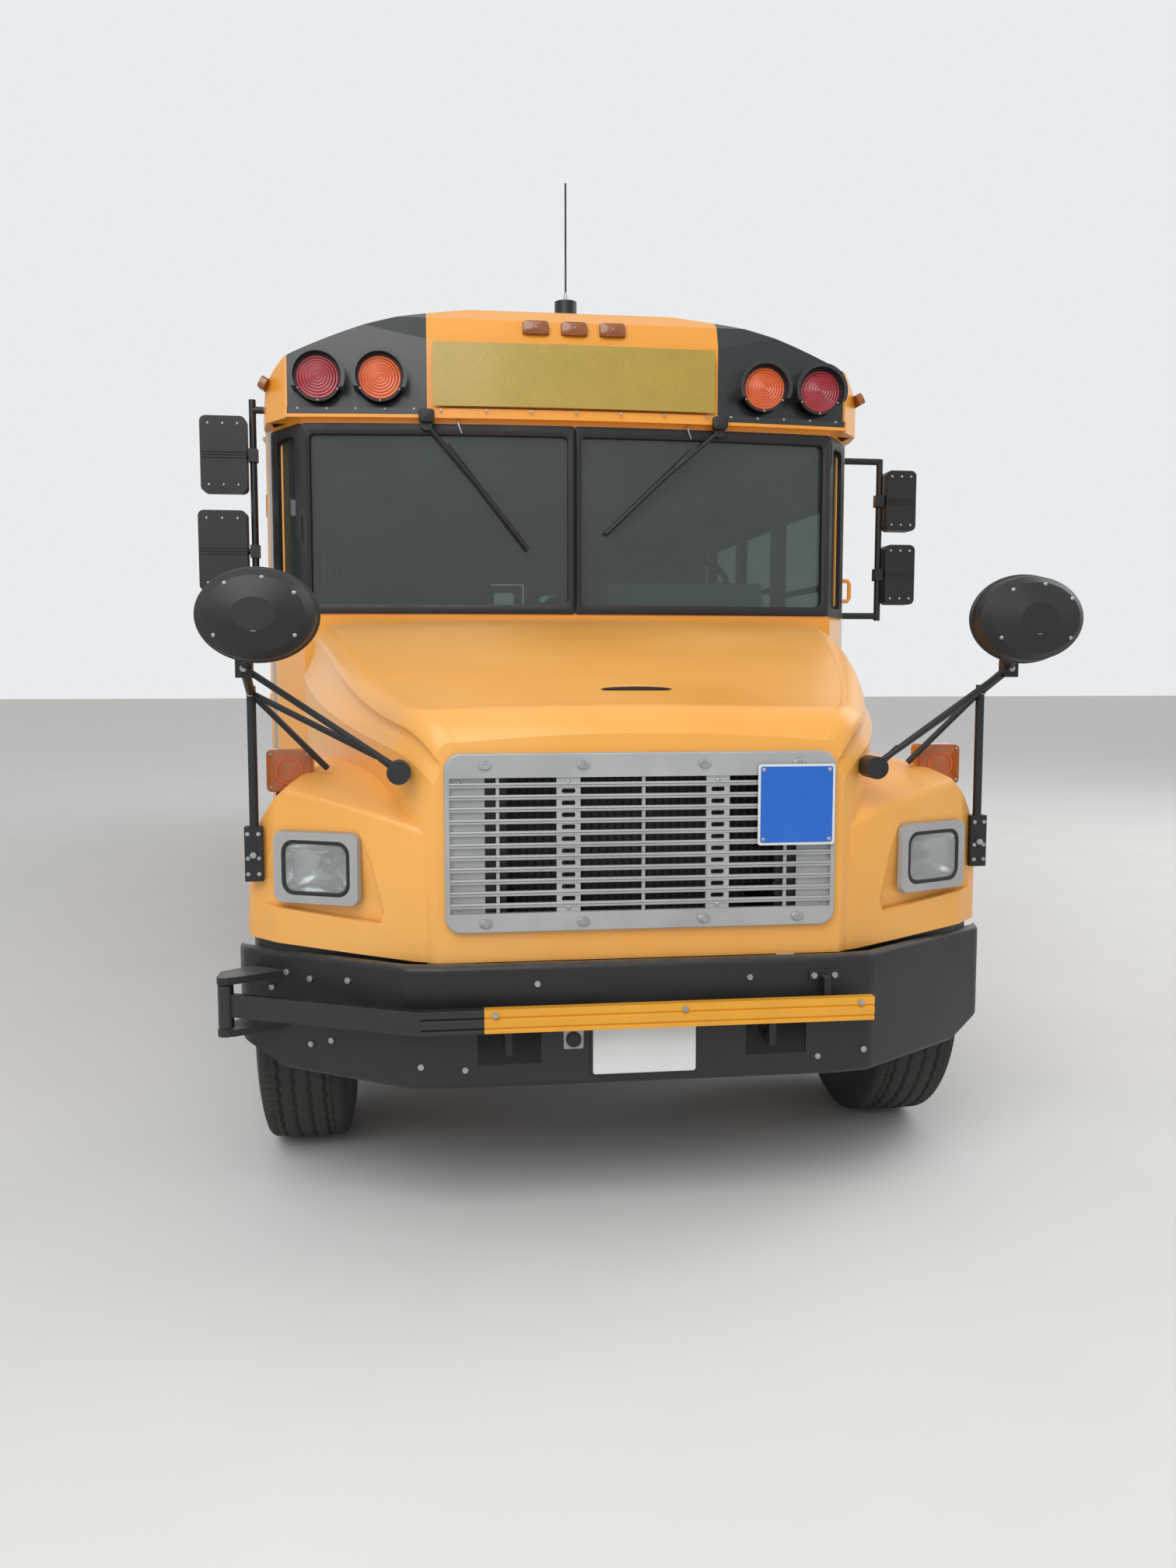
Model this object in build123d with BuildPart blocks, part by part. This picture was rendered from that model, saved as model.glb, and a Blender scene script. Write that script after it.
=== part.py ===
"""Conventional school bus: a long passenger body behind a tilting hood.

Millimetres, +Z up, the front towards -Y, the driver's side towards +X. The origin is on the ground at
the middle of the bus. A station is a distance behind the front face of the front bumper.
"""

import os
from math import asin, cos, radians, sin, sqrt

from build123d import *

os.makedirs("parts", exist_ok=True)

# Overall stations, from the front bumper's face towards the rear
front_reach = 238        # how far the crossover mirrors stand ahead of the bumper's face
front_axle = 920
wheelbase = 5512
hood_front = 40
hood_rear = 1535
cowl_front = 1560
glass_front = 1600       # the windshield frame's face at the middle
side_front = 2020        # where the side walls and the roof start
door_front = 2085
door_width = 770
window_front = 2925      # first passenger window bay
window_pitch = 711
window_count = 9
rear_margin = 75
rear_bumper_depth = 130

rear_axle = front_axle + wheelbase
rear_face = window_front + window_pitch * window_count + rear_margin
overall_length = front_reach + rear_face + rear_bumper_depth
bumper_face_y = front_reach - overall_length / 2

# Body section
body_half = 1219
wall = 45
skirt_bottom = 640
floor_top = 1060
floor_depth = 60
wall_top = 2500
roof_top = 3000
crown_radius = 2643
corner_radius = 240
window_sill = 1640
window_height = 660
window_width = 610
window_round = 40
sash_width = 26
sash_depth = 24
pane = 6

# Cowl, windshield and front cap
plan_half = 1050         # where the flat front turns into the slanted corners
plan_sweep = 65
corner_half = 1180
corner_station = 1880
cowl_top = 1770
front_wall = 40
cap_bottom = 2524
cap_front = 1585
cap_lean = 50

# Running gear
tyre_radius = 510
tyre_width = 275
rim_radius = 286
front_track_half = 985
kingpin_x = 860
dual_inner_x = 735
dual_outer_x = 1055
arch_radius = 600
rail_outer = 432
rail_height = 230
rail_flange = 76
rail_plate = 9
rail_top = 930
rail_front = 200
rail_bottom = rail_top - rail_height
rail_middle = rail_outer - rail_flange / 2
frame_rear = rear_face - 70

door_gap = 6             # working gap round every door leaf


def at(station):
    """Row-frame Y of a station."""
    return bumper_face_y + station


def section(station):
    """Plane across the bus at a station: x is +X, y is +Z, and a negative extrusion runs rearwards."""
    return Plane.XZ.offset(-at(station))


def side_plane(x):
    """Plane along the bus: x is +Y, y is +Z, and a positive extrusion runs towards +X."""
    return Plane.YZ.offset(x)


def write(part, name):
    part.label = name
    export_step(part, f"parts/{name}.step")


def block(x0, x1, s0, s1, z0, z1, mode=Mode.ADD):
    """Rectangular bar between two X, two stations and two heights."""
    with Locations(((x0 + x1) / 2, at((s0 + s1) / 2), (z0 + z1) / 2)):
        Box(abs(x1 - x0), abs(s1 - s0), abs(z1 - z0), mode=mode)


def round_bar(start, end, radius, mode=Mode.ADD):
    """Straight round bar between two points given as X, station and Z."""
    a = Vector(start[0], at(start[1]), start[2])
    b = Vector(end[0], at(end[1]), end[2])
    with Locations(Plane(origin=a, z_dir=b - a)):
        Cylinder(radius, (b - a).length, align=(Align.CENTER, Align.CENTER, Align.MIN), mode=mode)


def roof_outline(half, top, crown, corner, bottom):
    """Closed outline of the body's upper section: upright sides, round shoulders, a crowned top."""
    across = (half - corner) / (crown - corner)
    rise = sqrt(1 - across ** 2)
    shoulder_z = top - crown + (crown - corner) * rise
    meet = (half - corner + corner * across, shoulder_z + corner * rise)
    mid_angle = asin(rise) / 2
    mid = (half - corner + corner * cos(mid_angle), shoulder_z + corner * sin(mid_angle))
    Line((-half, bottom), (half, bottom))
    Line((half, bottom), (half, shoulder_z))
    ThreePointArc((half, shoulder_z), mid, meet)
    ThreePointArc(meet, (0, top), (-meet[0], meet[1]))
    ThreePointArc((-meet[0], meet[1]), (-mid[0], mid[1]), (-half, shoulder_z))
    Line((-half, shoulder_z), (-half, bottom))


def front_plan(front, inset, rear):
    """Closed plan of the body's front: a slightly bowed face, slanted corners and straight sides."""
    bow = (plan_half - 0.5 * inset, at(front + plan_sweep + inset))
    turn = (corner_half - inset, at(corner_station + 0.4 * inset))
    side = (body_half - inset, at(side_front - 50))
    ThreePointArc((-bow[0], bow[1]), (0, at(front + inset)), bow)
    Polyline(bow, turn, side, (side[0], at(rear)), (-side[0], at(rear)), (-side[0], side[1]),
             (-turn[0], turn[1]), (-bow[0], bow[1]))


# Frame: two channel rails, crossmembers, spring hangers, bumper horns and tow eyes
cross_stations = [480, 2400, 3600, 4800, 5650, 7250, 8300, frame_rear - 40]
tow_eye_x = 378
tow_eye_radius = 22
tow_eye_plate = 20
tow_eye_z = 540
spring_width = 76
front_spring_half = 640
rear_spring_half = 750
spring_eye_z = 645
horn_top = 725
horn_height = 120
bumper_plate = 10

rivet_gap = 0.5          # between a rail and what is riveted to it
tow_eye_station = 75     # from the front bumper's face
tow_eye_rear = 60        # behind the rear wall

with BuildPart() as frame:
    for side in (-1, 1):
        with BuildSketch(section(rail_front)):
            with Locations((side * rail_middle, rail_top - rail_height / 2)):
                Rectangle(rail_flange, rail_height)
            with Locations((side * (rail_middle - rail_plate), rail_top - rail_height / 2)):
                Rectangle(rail_flange, rail_height - 2 * rail_plate, mode=Mode.SUBTRACT)
        extrude(amount=-(frame_rear - rail_front))
        block(side * (rail_middle - 35), side * (rail_middle + 35), bumper_plate, rail_front + 60,
              horn_top - horn_height, horn_top)
        block(side * (rail_middle - 35), side * (rail_middle + 35), frame_rear - 200,
              rear_face + rear_bumper_depth - 20, rail_bottom, rail_bottom + horn_height)
        for middle, half in ((front_axle, front_spring_half), (rear_axle, rear_spring_half)):
            for end in (-half, half - 60):
                block(side * (rail_middle - spring_width / 2), side * (rail_middle + spring_width / 2),
                      middle + end, middle + end + 60, spring_eye_z, rail_bottom + rail_plate)
        for eye, inward, top in ((tow_eye_station, 1, horn_top - horn_height),
                                 (rear_face + tow_eye_rear, -1, rail_bottom)):
            with BuildSketch(side_plane(side * tow_eye_x - tow_eye_plate / 2)):
                with BuildLine():
                    Polyline((at(eye - inward * 45), tow_eye_z - 45), (at(eye + inward * 60), tow_eye_z - 45),
                             (at(eye + inward * 150), top - rivet_gap),
                             (at(eye - inward * 45), top - rivet_gap),
                             close=True)
                make_face()
                with Locations((at(eye), tow_eye_z)):
                    Circle(tow_eye_radius, mode=Mode.SUBTRACT)
            extrude(amount=tow_eye_plate)
    for station in cross_stations:
        half = rail_outer - rail_plate - rivet_gap
        block(-half, half, station - 35, station + 35, rail_bottom + 30, rail_top - 30)
write(frame.part, "frame")

# Front axle: dropped beam with kingpin bosses, spring pads and two leaf springs
beam_drop = 70
beam_half_depth = 45
boss_radius = 42
kingpin_radius = 20
kingpin_clearance = 1.5
beam_under = tyre_radius - 55
beam_over = tyre_radius + 40
front_pad = 30
front_pack = 44

with BuildPart() as front_beam:
    with BuildSketch(section(front_axle - beam_half_depth)):
        with BuildLine():
            FilletPolyline(
                (-kingpin_x, beam_under), (-kingpin_x + 120, beam_under), (-560, beam_under - beam_drop),
                (560, beam_under - beam_drop), (kingpin_x - 120, beam_under), (kingpin_x, beam_under),
                (kingpin_x, beam_over), (kingpin_x - 120, beam_over), (560, beam_over - beam_drop),
                (-560, beam_over - beam_drop), (-kingpin_x + 120, beam_over), (-kingpin_x, beam_over),
                close=True, radius=15)
        make_face()
    extrude(amount=-2 * beam_half_depth)
    for side in (-1, 1):
        block(side * (kingpin_x - 30), side * (kingpin_x + 80), front_axle - 60, front_axle + 60,
              beam_under - 5, beam_over + 5, Mode.SUBTRACT)
        round_bar((side * kingpin_x, front_axle, beam_under), (side * kingpin_x, front_axle, beam_over),
                  boss_radius)
        round_bar((side * kingpin_x, front_axle, beam_under), (side * kingpin_x, front_axle, beam_over),
                  kingpin_radius + kingpin_clearance, Mode.SUBTRACT)
        pad_top = beam_over - beam_drop + front_pad
        block(side * (rail_middle - spring_width / 2), side * (rail_middle + spring_width / 2),
              front_axle - 70, front_axle + 70, pad_top - front_pad - 5, pad_top + 5)
        with BuildSketch(side_plane(side * rail_middle - spring_width / 2)):
            with BuildLine():
                ThreePointArc((at(front_axle - front_spring_half), spring_eye_z),
                              (at(front_axle), pad_top + front_pack),
                              (at(front_axle + front_spring_half), spring_eye_z))
                Line((at(front_axle + front_spring_half), spring_eye_z),
                     (at(front_axle + front_spring_half), spring_eye_z - 16))
                ThreePointArc((at(front_axle + front_spring_half), spring_eye_z - 16),
                              (at(front_axle), pad_top),
                              (at(front_axle - front_spring_half), spring_eye_z - 16))
                Line((at(front_axle - front_spring_half), spring_eye_z - 16),
                     (at(front_axle - front_spring_half), spring_eye_z))
            make_face()
        extrude(amount=spring_width)
write(front_beam.part, "front_axle")

# Rear axle: tube with a banjo housing, springs, and the drive shaft that reaches it
axle_tube = 65
banjo_radius = 195
rear_pack = 50
rear_spindle = 42
gearbox_end = 2250
gearbox_z = 665
shaft_radius = 48

with BuildPart() as rear_beam:
    round_bar((-660, rear_axle, tyre_radius), (660, rear_axle, tyre_radius), axle_tube)
    round_bar((-1040, rear_axle, tyre_radius), (1040, rear_axle, tyre_radius), rear_spindle)
    with BuildSketch(Plane.XY.offset(tyre_radius)):
        with BuildLine():
            base = at(rear_axle)
            Line((-280, base), (-200, base + axle_tube))
            ThreePointArc((-200, base + axle_tube), (0, base + banjo_radius), (200, base + axle_tube))
            Line((200, base + axle_tube), (280, base))
            Line((280, base), (-280, base))
        make_face()
    revolve(axis=Axis((0, at(rear_axle), tyre_radius), (1, 0, 0)))
    round_bar((0, gearbox_end + 8, gearbox_z), (0, rear_axle - banjo_radius + 30, tyre_radius + 20),
              shaft_radius)
    for side in (-1, 1):
        pad_top = tyre_radius + axle_tube
        block(side * (rail_middle - spring_width / 2), side * (rail_middle + spring_width / 2),
              rear_axle - 80, rear_axle + 80, tyre_radius, pad_top + 5)
        with BuildSketch(side_plane(side * rail_middle - spring_width / 2)):
            with BuildLine():
                ThreePointArc((at(rear_axle - rear_spring_half), spring_eye_z),
                              (at(rear_axle), pad_top + rear_pack),
                              (at(rear_axle + rear_spring_half), spring_eye_z))
                Line((at(rear_axle + rear_spring_half), spring_eye_z),
                     (at(rear_axle + rear_spring_half), spring_eye_z - 20))
                ThreePointArc((at(rear_axle + rear_spring_half), spring_eye_z - 20), (at(rear_axle), pad_top),
                              (at(rear_axle - rear_spring_half), spring_eye_z - 20))
                Line((at(rear_axle - rear_spring_half), spring_eye_z - 20),
                     (at(rear_axle - rear_spring_half), spring_eye_z))
            make_face()
        extrude(amount=spring_width)
write(rear_beam.part, "rear_axle")

# Engine with its gearbox, one plain block, and the radiator ahead of it
engine_half = 330
engine_front = 620
engine_rear = 1500
engine_low = 640
engine_high = 1330
gearbox_half = 180
gearbox_low = 560
gearbox_high = 900
mount_front = 1000
mount_depth = 100

with BuildPart() as engine:
    block(-engine_half, engine_half, engine_front, engine_rear, engine_low, engine_high)
    block(-gearbox_half, gearbox_half, engine_rear, gearbox_end, gearbox_low, gearbox_high)
    block(-(rail_outer - rail_plate), rail_outer - rail_plate, mount_front, mount_front + mount_depth,
          rail_bottom + 40, rail_top - 40)
write(engine.part, "engine_block")

hinge_station = 100      # the hood's hinge line
hinge_z = 830
hinge_inner = 262        # X of the barrels' ends
hinge_outer = 312
hinge_barrel = 16
hinge_pin = 8
hinge_gap = 5
hinge_ear = 12
core_front = 240
core_depth = 90
core_half = 345
tank_half = 500
core_low = 660
core_high = 1380

with BuildPart() as radiator:
    block(-core_half, core_half, core_front, core_front + core_depth, core_low, core_high)
    block(-tank_half, tank_half, core_front, core_front + core_depth, rail_top, core_high)
    for side in (-1, 1):
        ear = side * (hinge_outer + hinge_gap)
        block(ear, ear + side * hinge_ear, hinge_station - 2 * hinge_pin, core_front + 5,
              hinge_z - 2 * hinge_pin,
              hinge_z + 2 * hinge_pin)
        round_bar((ear - side, hinge_station, hinge_z),
                  (ear + side * (hinge_ear + 1), hinge_station, hinge_z),
                  hinge_pin + 1, Mode.SUBTRACT)
write(radiator.part, "radiator")

# Fuel tank on the right rail, and the exhaust line along the left rail
tank_front = 3300
tank_length = 1200
tank_width = 580
tank_height = 400
tank_round = 70

with BuildPart() as tank:
    with BuildSketch(section(tank_front)):
        with Locations((-(rail_outer + tank_width / 2), rail_top - tank_height / 2 - 5)):
            RectangleRounded(tank_width, tank_height, tank_round)
    extrude(amount=-tank_length)
write(tank.part, "fuel_tank")

pipe_radius = 45
pipe_x = 515
pipe_z = 600
pipe_front = 1750
pipe_over = 790          # height over the rear axle, and behind it
pipe_end = 490
muffler_radius = 98
muffler_front = 3400
muffler_rear = 4500
muffler_hangers = (3600, 4300)
tail_hanger = 8600

with BuildPart() as exhaust:
    with BuildLine():
        route = FilletPolyline(
            (gearbox_half, at(pipe_front), pipe_z), (pipe_x, at(pipe_front), pipe_z),
            (pipe_x, at(5100), pipe_z),
            (pipe_x, at(5700), pipe_over), (pipe_x, at(7200), pipe_over), (pipe_x, at(7900), pipe_end),
            (pipe_x, at(rear_face + 40), pipe_end), radius=[140, 300, 300, 300, 300])
    with BuildSketch(Plane(origin=route @ 0, z_dir=route % 0)):
        Circle(pipe_radius)
    sweep(path=route)
    round_bar((pipe_x, muffler_front, pipe_z), (pipe_x, muffler_rear, pipe_z), muffler_radius)
    for station in (*muffler_hangers, tail_hanger):
        below = pipe_end + pipe_radius - 10 if station == tail_hanger else pipe_z + muffler_radius - 20
        block(rail_outer - 30, pipe_x + 30, station - 20, station + 20, rail_bottom - 12, rail_bottom)
        block(pipe_x - 12, pipe_x + 12, station - 20, station + 20, below, rail_bottom)
write(exhaust.part, "exhaust")

# Bumpers
bumper_top = 760
bumper_bottom = 413
bumper_flange = 30
bumper_roll = 18
bumper_bend = 60
bumper_half = 1150
bumper_flat = 560
bumper_end = 400
tow_opening_width = 175
tow_opening_height = 120
gate_hinge_x = -1165
gate_hinge_station = 200
gate_low = 560
gate_high = 680
hinge_clearance = 5
gate_plate = 20
gate_plate_ends = [(-1000, 260), (-1100, 330)]     # where the gate's hinge plates end in the bumper


def bumper_plan(behind, rear):
    """Closed plan from the bumper's swept front, moved back by a depth, to a straight line behind it."""
    line = [(bumper_half, rear), (bumper_half, bumper_end), (bumper_half - 18, bumper_end - 55),
            (bumper_flat + 100, 16), (bumper_flat, 0)]
    front = [(x, at(s + behind * (s < rear))) for x, s in line]
    path = FilletPolyline(*front, *[(-x, y) for x, y in reversed(front)], radius=bumper_bend)
    Line(path @ 0, path @ 1)


with BuildPart() as front_bumper:
    with BuildSketch(Plane.XY.offset(bumper_bottom)):
        with BuildLine():
            bumper_plan(0, bumper_end + 60)
        make_face()
    extrude(amount=bumper_top - bumper_bottom)
    rims = front_bumper.edges().group_by(Axis.Z)[-1] + front_bumper.edges().group_by(Axis.Z)[0]
    fillet([edge for edge in rims if edge.length < bumper_half], bumper_roll)
    with BuildSketch(Plane.XY.offset(bumper_bottom + bumper_plate)):
        with BuildLine():
            bumper_plan(bumper_plate, bumper_end + 80)
        make_face()
    extrude(amount=bumper_top - bumper_bottom - 2 * bumper_plate, mode=Mode.SUBTRACT)
    with BuildSketch(Plane.XY.offset(bumper_bottom - 1)):
        with BuildLine():
            bumper_plan(bumper_flange, bumper_end + 100)
        make_face()
    extrude(amount=bumper_top - bumper_bottom + 2, mode=Mode.SUBTRACT)
    for side in (-1, 1):
        with BuildSketch(section(-10)):
            with BuildLine():
                Polyline((side * 1000, bumper_bottom - 1), (side * (bumper_half + 20), bumper_bottom - 1),
                         (side * (bumper_half + 20), bumper_bottom + 85), close=True)
            make_face()
        extrude(amount=-(bumper_end + 100), mode=Mode.SUBTRACT)
        block(side * (tow_eye_x - tow_opening_width / 2), side * (tow_eye_x + tow_opening_width / 2), -5,
              bumper_plate + 5, tow_eye_z - tow_opening_height / 2, tow_eye_z + tow_opening_height / 2,
              Mode.SUBTRACT)
    for z in (gate_low - hinge_clearance - gate_plate, gate_high + hinge_clearance):
        with BuildSketch(Plane.XY.offset(z)):
            with BuildLine():
                Polyline((gate_hinge_x - 22, at(gate_hinge_station)),
                         (gate_hinge_x + 22, at(gate_hinge_station - 20)),
                         *[(x, at(station)) for x, station in gate_plate_ends],
                         (gate_hinge_x - 22, at(gate_hinge_station + 60)), close=True)
            make_face()
            with Locations((gate_hinge_x, at(gate_hinge_station))):
                Circle(24)
        extrude(amount=gate_plate)
write(front_bumper.part, "front_bumper")

rear_bumper_top = 860
rear_bumper_bottom = 600

with BuildPart() as rear_bumper:
    with BuildSketch(Plane.XY.offset(rear_bumper_bottom)):
        with BuildLine():
            FilletPolyline((-body_half, at(rear_face)), (-body_half, at(rear_face + rear_bumper_depth)),
                           (body_half, at(rear_face + rear_bumper_depth)), (body_half, at(rear_face)),
                           radius=90)
            Line((body_half, at(rear_face)), (-body_half, at(rear_face)))
        make_face()
    extrude(amount=rear_bumper_top - rear_bumper_bottom)
    block(-body_half + 20, body_half - 20, rear_face - 1, rear_face + rear_bumper_depth - 20,
          rear_bumper_bottom + 12, rear_bumper_top - 12, Mode.SUBTRACT)
    block(-body_half + 120, body_half - 120, rear_face - 1, rear_face + rear_bumper_depth - 20,
          rear_bumper_bottom - 1, rear_bumper_bottom + 13, Mode.SUBTRACT)
write(rear_bumper.part, "rear_bumper")

# Floor with its sills and rear wheel boxes, and the entry steps
step_depth = 230
step_plate = 25
step_out = body_half - 20
step_in = step_out - 15 - 3 * step_depth
step_bottom = 430
step_rise = (floor_top - step_bottom) / 3
box_inner = 575
box_half_length = arch_radius + 10
box_top = tyre_radius * 2 + 70

with BuildPart() as floor:
    block(-body_half + wall, body_half - wall, side_front, rear_face - wall, floor_top - floor_depth,
          floor_top)
    block(-940, 940, glass_front + 90, side_front, floor_top - floor_depth, floor_top)
    block(-body_half, -step_in + step_plate, door_front - step_plate, door_front + door_width + step_plate,
          floor_top - floor_depth - 1, floor_top + 1, Mode.SUBTRACT)
    for station in (3100, 4200, 5300, 7500, 8600):
        block(-rail_outer - 60, rail_outer + 60, station - 40, station + 40, rail_top,
              floor_top - floor_depth)
    for side in (-1, 1):
        block(side * (box_inner - rivet_gap), side * (body_half - wall + 1),
              rear_axle - box_half_length - rivet_gap, rear_axle + box_half_length + rivet_gap,
              floor_top - floor_depth - 1, floor_top + 1, Mode.SUBTRACT)
        block(side * box_inner, side * (body_half - wall), rear_axle - box_half_length,
              rear_axle + box_half_length, floor_top - floor_depth, box_top + 25)
        block(side * (box_inner + 25), side * (body_half - wall + 1), rear_axle - box_half_length + 25,
              rear_axle + box_half_length - 25, floor_top - floor_depth - 1, box_top, Mode.SUBTRACT)
write(floor.part, "floor")

with BuildPart() as steps:
    with BuildSketch(section(door_front - step_plate)):
        with BuildLine():
            stair = [(-step_out, step_bottom - step_plate), (-step_out, step_bottom)]
            under = []
            for k in range(3):
                riser = -step_out + 15 + step_depth * (k + 1)
                stair += [(riser, step_bottom + k * step_rise), (riser, step_bottom + (k + 1) * step_rise)]
                under += [(riser + step_plate, step_bottom + k * step_rise - step_plate)]
                under += [(riser + step_plate, step_bottom + (k + 1) * step_rise - step_plate * (k < 2))]
            Polyline(*stair, *reversed(under), close=True)
        make_face()
    extrude(amount=-(door_width + 2 * step_plate))
    for station in (door_front - step_plate, door_front + door_width):
        block(-step_out, -step_in + step_plate, station, station + step_plate, step_bottom - step_plate,
              floor_top)
write(steps.part, "entry_steps")

# Side walls with their windows, doorways and rear wheel arches
door_bottom = 440
door_top = 2400
driver_window_low = 1560
lift_front = 7330
lift_width = 1140
lift_bottom = floor_top - floor_depth
lift_top = 2420
lift_bays = (6, 7)

left_bays = range(window_count)
right_bays = [k for k in range(window_count) if k not in lift_bays]


def bay_middle(k):
    """Station of the middle of a passenger window bay."""
    return window_front + window_pitch * (k + 0.5)


def windows_of(side):
    """Rows of middle station, width, sill and height of each opening with glass in a side wall."""
    bays = left_bays if side > 0 else right_bays
    rows = [(bay_middle(k), window_width, window_sill, window_height) for k in bays]
    if side > 0:
        rows.append((door_front + door_width / 2, door_width - 60, driver_window_low,
                     window_sill + window_height - driver_window_low))
    return rows


sides = {}
for side, name in ((1, "left_side"), (-1, "right_side")):
    outer_x = side * body_half
    inner_x = side * (body_half - wall)
    with BuildPart() as side_wall:
        block(inner_x, outer_x, side_front, rear_face - wall, skirt_bottom, wall_top)
        for middle, width, sill, height in windows_of(side):
            with BuildSketch(side_plane(min(inner_x, outer_x) - 1)):
                with Locations((at(middle), sill + height / 2)):
                    RectangleRounded(width, height, window_round)
            extrude(amount=wall + 2, mode=Mode.SUBTRACT)
        with BuildSketch(side_plane(min(inner_x, outer_x) - 1)):
            with Locations((at(rear_axle), tyre_radius)):
                Circle(arch_radius)
        extrude(amount=wall + 2, mode=Mode.SUBTRACT)
        if side < 0:
            block(outer_x - 5, inner_x + 5, door_front, door_front + door_width, 0, door_top, Mode.SUBTRACT)
            block(outer_x - 5, inner_x + 5, lift_front, lift_front + lift_width, lift_bottom, lift_top,
                  Mode.SUBTRACT)
            block(outer_x - 5, inner_x + 5, door_front - step_plate, door_front + door_width + step_plate,
                  0, floor_top, Mode.SUBTRACT)
    write(side_wall.part, name)

# Rub rails, two ridges each, broken at the doors and the wheel arches
rail_stand = 22
rail_rows = [(1600, 60), (1345, 120), (1035, 120), (700, 90)]    # height of the middle, and width
stop_hinge_station = 2900
stop_hinge_x = body_half + 62
stop_z = 1440
stop_size = 457
stop_base_half = 185
stop_pin_half = 150


def rail_spans(side, z):
    """Stations between which a rub rail runs at a height."""
    reach = arch_radius + 25
    gaps = []
    if z < tyre_radius + reach:
        half = sqrt(reach ** 2 - (z - tyre_radius) ** 2)
        gaps.append((rear_axle - half, rear_axle + half))
    if side < 0:
        gaps.append((lift_front - 25, lift_front + lift_width + 25))
    elif abs(z - stop_z) < stop_base_half + 60:
        gaps.append((stop_hinge_station - 75, stop_hinge_station + 45))
    start = side_front if side > 0 else door_front + door_width + 40
    spans = []
    for low, high in sorted(gaps):
        spans.append((start, low))
        start = high
    spans.append((start, rear_face - 10))
    return spans


with BuildPart() as rub_rails:
    for side in (-1, 1):
        for z, width in rail_rows:
            for start, end in rail_spans(side, z):
                x0 = side * body_half
                x1 = side * (body_half + rail_stand)
                x2 = side * (body_half + rail_stand / 2)
                with BuildSketch(section(start)):
                    with BuildLine():
                        Polyline((x0, z - width / 2), (x1, z - 0.4 * width), (x1, z - 0.15 * width),
                                 (x2, z - 0.08 * width), (x2, z + 0.08 * width), (x1, z + 0.15 * width),
                                 (x1, z + 0.4 * width), (x0, z + width / 2), close=True)
                    make_face()
                extrude(amount=-(end - start))
write(rub_rails.part, "rub_rails")

# Roof shell with a drip rail along each side
drip_stand = 16
drip_height = 14

with BuildPart() as roof:
    with BuildSketch(section(side_front)):
        with BuildLine():
            roof_outline(body_half, roof_top, crown_radius, corner_radius, wall_top)
        make_face()
    extrude(amount=-(rear_face - wall - side_front))
    with BuildSketch(section(side_front - 1)):
        with BuildLine():
            roof_outline(body_half - wall, roof_top - wall, crown_radius - wall, corner_radius - wall,
                         wall_top - 10)
        make_face()
    extrude(amount=-(rear_face - side_front), mode=Mode.SUBTRACT)
    for side in (-1, 1):
        block(side * (body_half - 5), side * (body_half + drip_stand), side_front, rear_face - wall, wall_top,
              wall_top + drip_height)
write(roof.part, "roof")

# Cowl below the windshield, with the firewall, and the windshield frame above it
cowl_bottom = 700
firewall_bottom = 1010
centre_post = 44
pane_low = 1812
pane_high = 2474
pane_half = 1025
corner_pane_start = 1705
corner_pane_end = 1850

with BuildPart() as cowl:
    with BuildSketch(Plane.XY.offset(cowl_bottom)):
        with BuildLine():
            front_plan(cowl_front, 0, side_front)
        make_face()
    extrude(amount=cowl_top - cowl_bottom)
    with BuildSketch(Plane.XY.offset(cowl_bottom - 1)):
        with BuildLine():
            front_plan(cowl_front, front_wall, side_front + 1)
        make_face()
    extrude(amount=cowl_top - cowl_bottom - front_wall + 1, mode=Mode.SUBTRACT)
    with BuildSketch(Plane.XY.offset(cowl_top - front_wall - 1)):
        with BuildLine():
            front_plan(glass_front, front_wall, side_front + 1)
        make_face()
    extrude(amount=front_wall + 2, mode=Mode.SUBTRACT)
    block(-940, 940, cowl_front - 5, side_front + 5, 0, firewall_bottom, Mode.SUBTRACT)
write(cowl.part, "cowl")

with BuildPart() as frame_front:
    with BuildSketch(Plane.XY.offset(cowl_top)):
        with BuildLine():
            front_plan(glass_front, 0, side_front)
        make_face()
    extrude(amount=cap_bottom - cowl_top)
    with BuildSketch(Plane.XY.offset(cowl_top - 1)):
        with BuildLine():
            front_plan(glass_front, front_wall, side_front + 1)
        make_face()
    extrude(amount=cap_bottom - cowl_top + 2, mode=Mode.SUBTRACT)
    for side in (-1, 1):
        block(side * centre_post / 2, side * pane_half, glass_front - 5, glass_front + 200, pane_low,
              pane_high,
              Mode.SUBTRACT)
        block(side * (plan_half - 60), side * (body_half + 5), corner_pane_start, corner_pane_end, pane_low,
              pane_high, Mode.SUBTRACT)
write(frame_front.part, "windshield_frame")

# Front cap: the crowned brow that carries the warning lamps
lamp_rows = [(747, 90), (980, 90)]     # X of the middle and radius of each warning lamp
lamp_z = 2665
marker_z = 2905
marker_station = cap_front + cap_lean
hood_lip = 14
hood_reach = 95
visor_reach = 25
visor_height = 36
cap_bow = 65
cap_corner = 130


def cap_station(x):
    """Station of the cap's face at a distance from the middle."""
    return cap_front + cap_bow * (x / plan_half) ** 2


with BuildPart() as cap_inner:
    with BuildSketch(section(cap_front + 190)):
        with BuildLine():
            roof_outline(body_half - wall, roof_top - wall, crown_radius - wall, corner_radius - wall,
                         cap_bottom)
        make_face()
    extrude(amount=-(side_front - cap_front))

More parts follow.
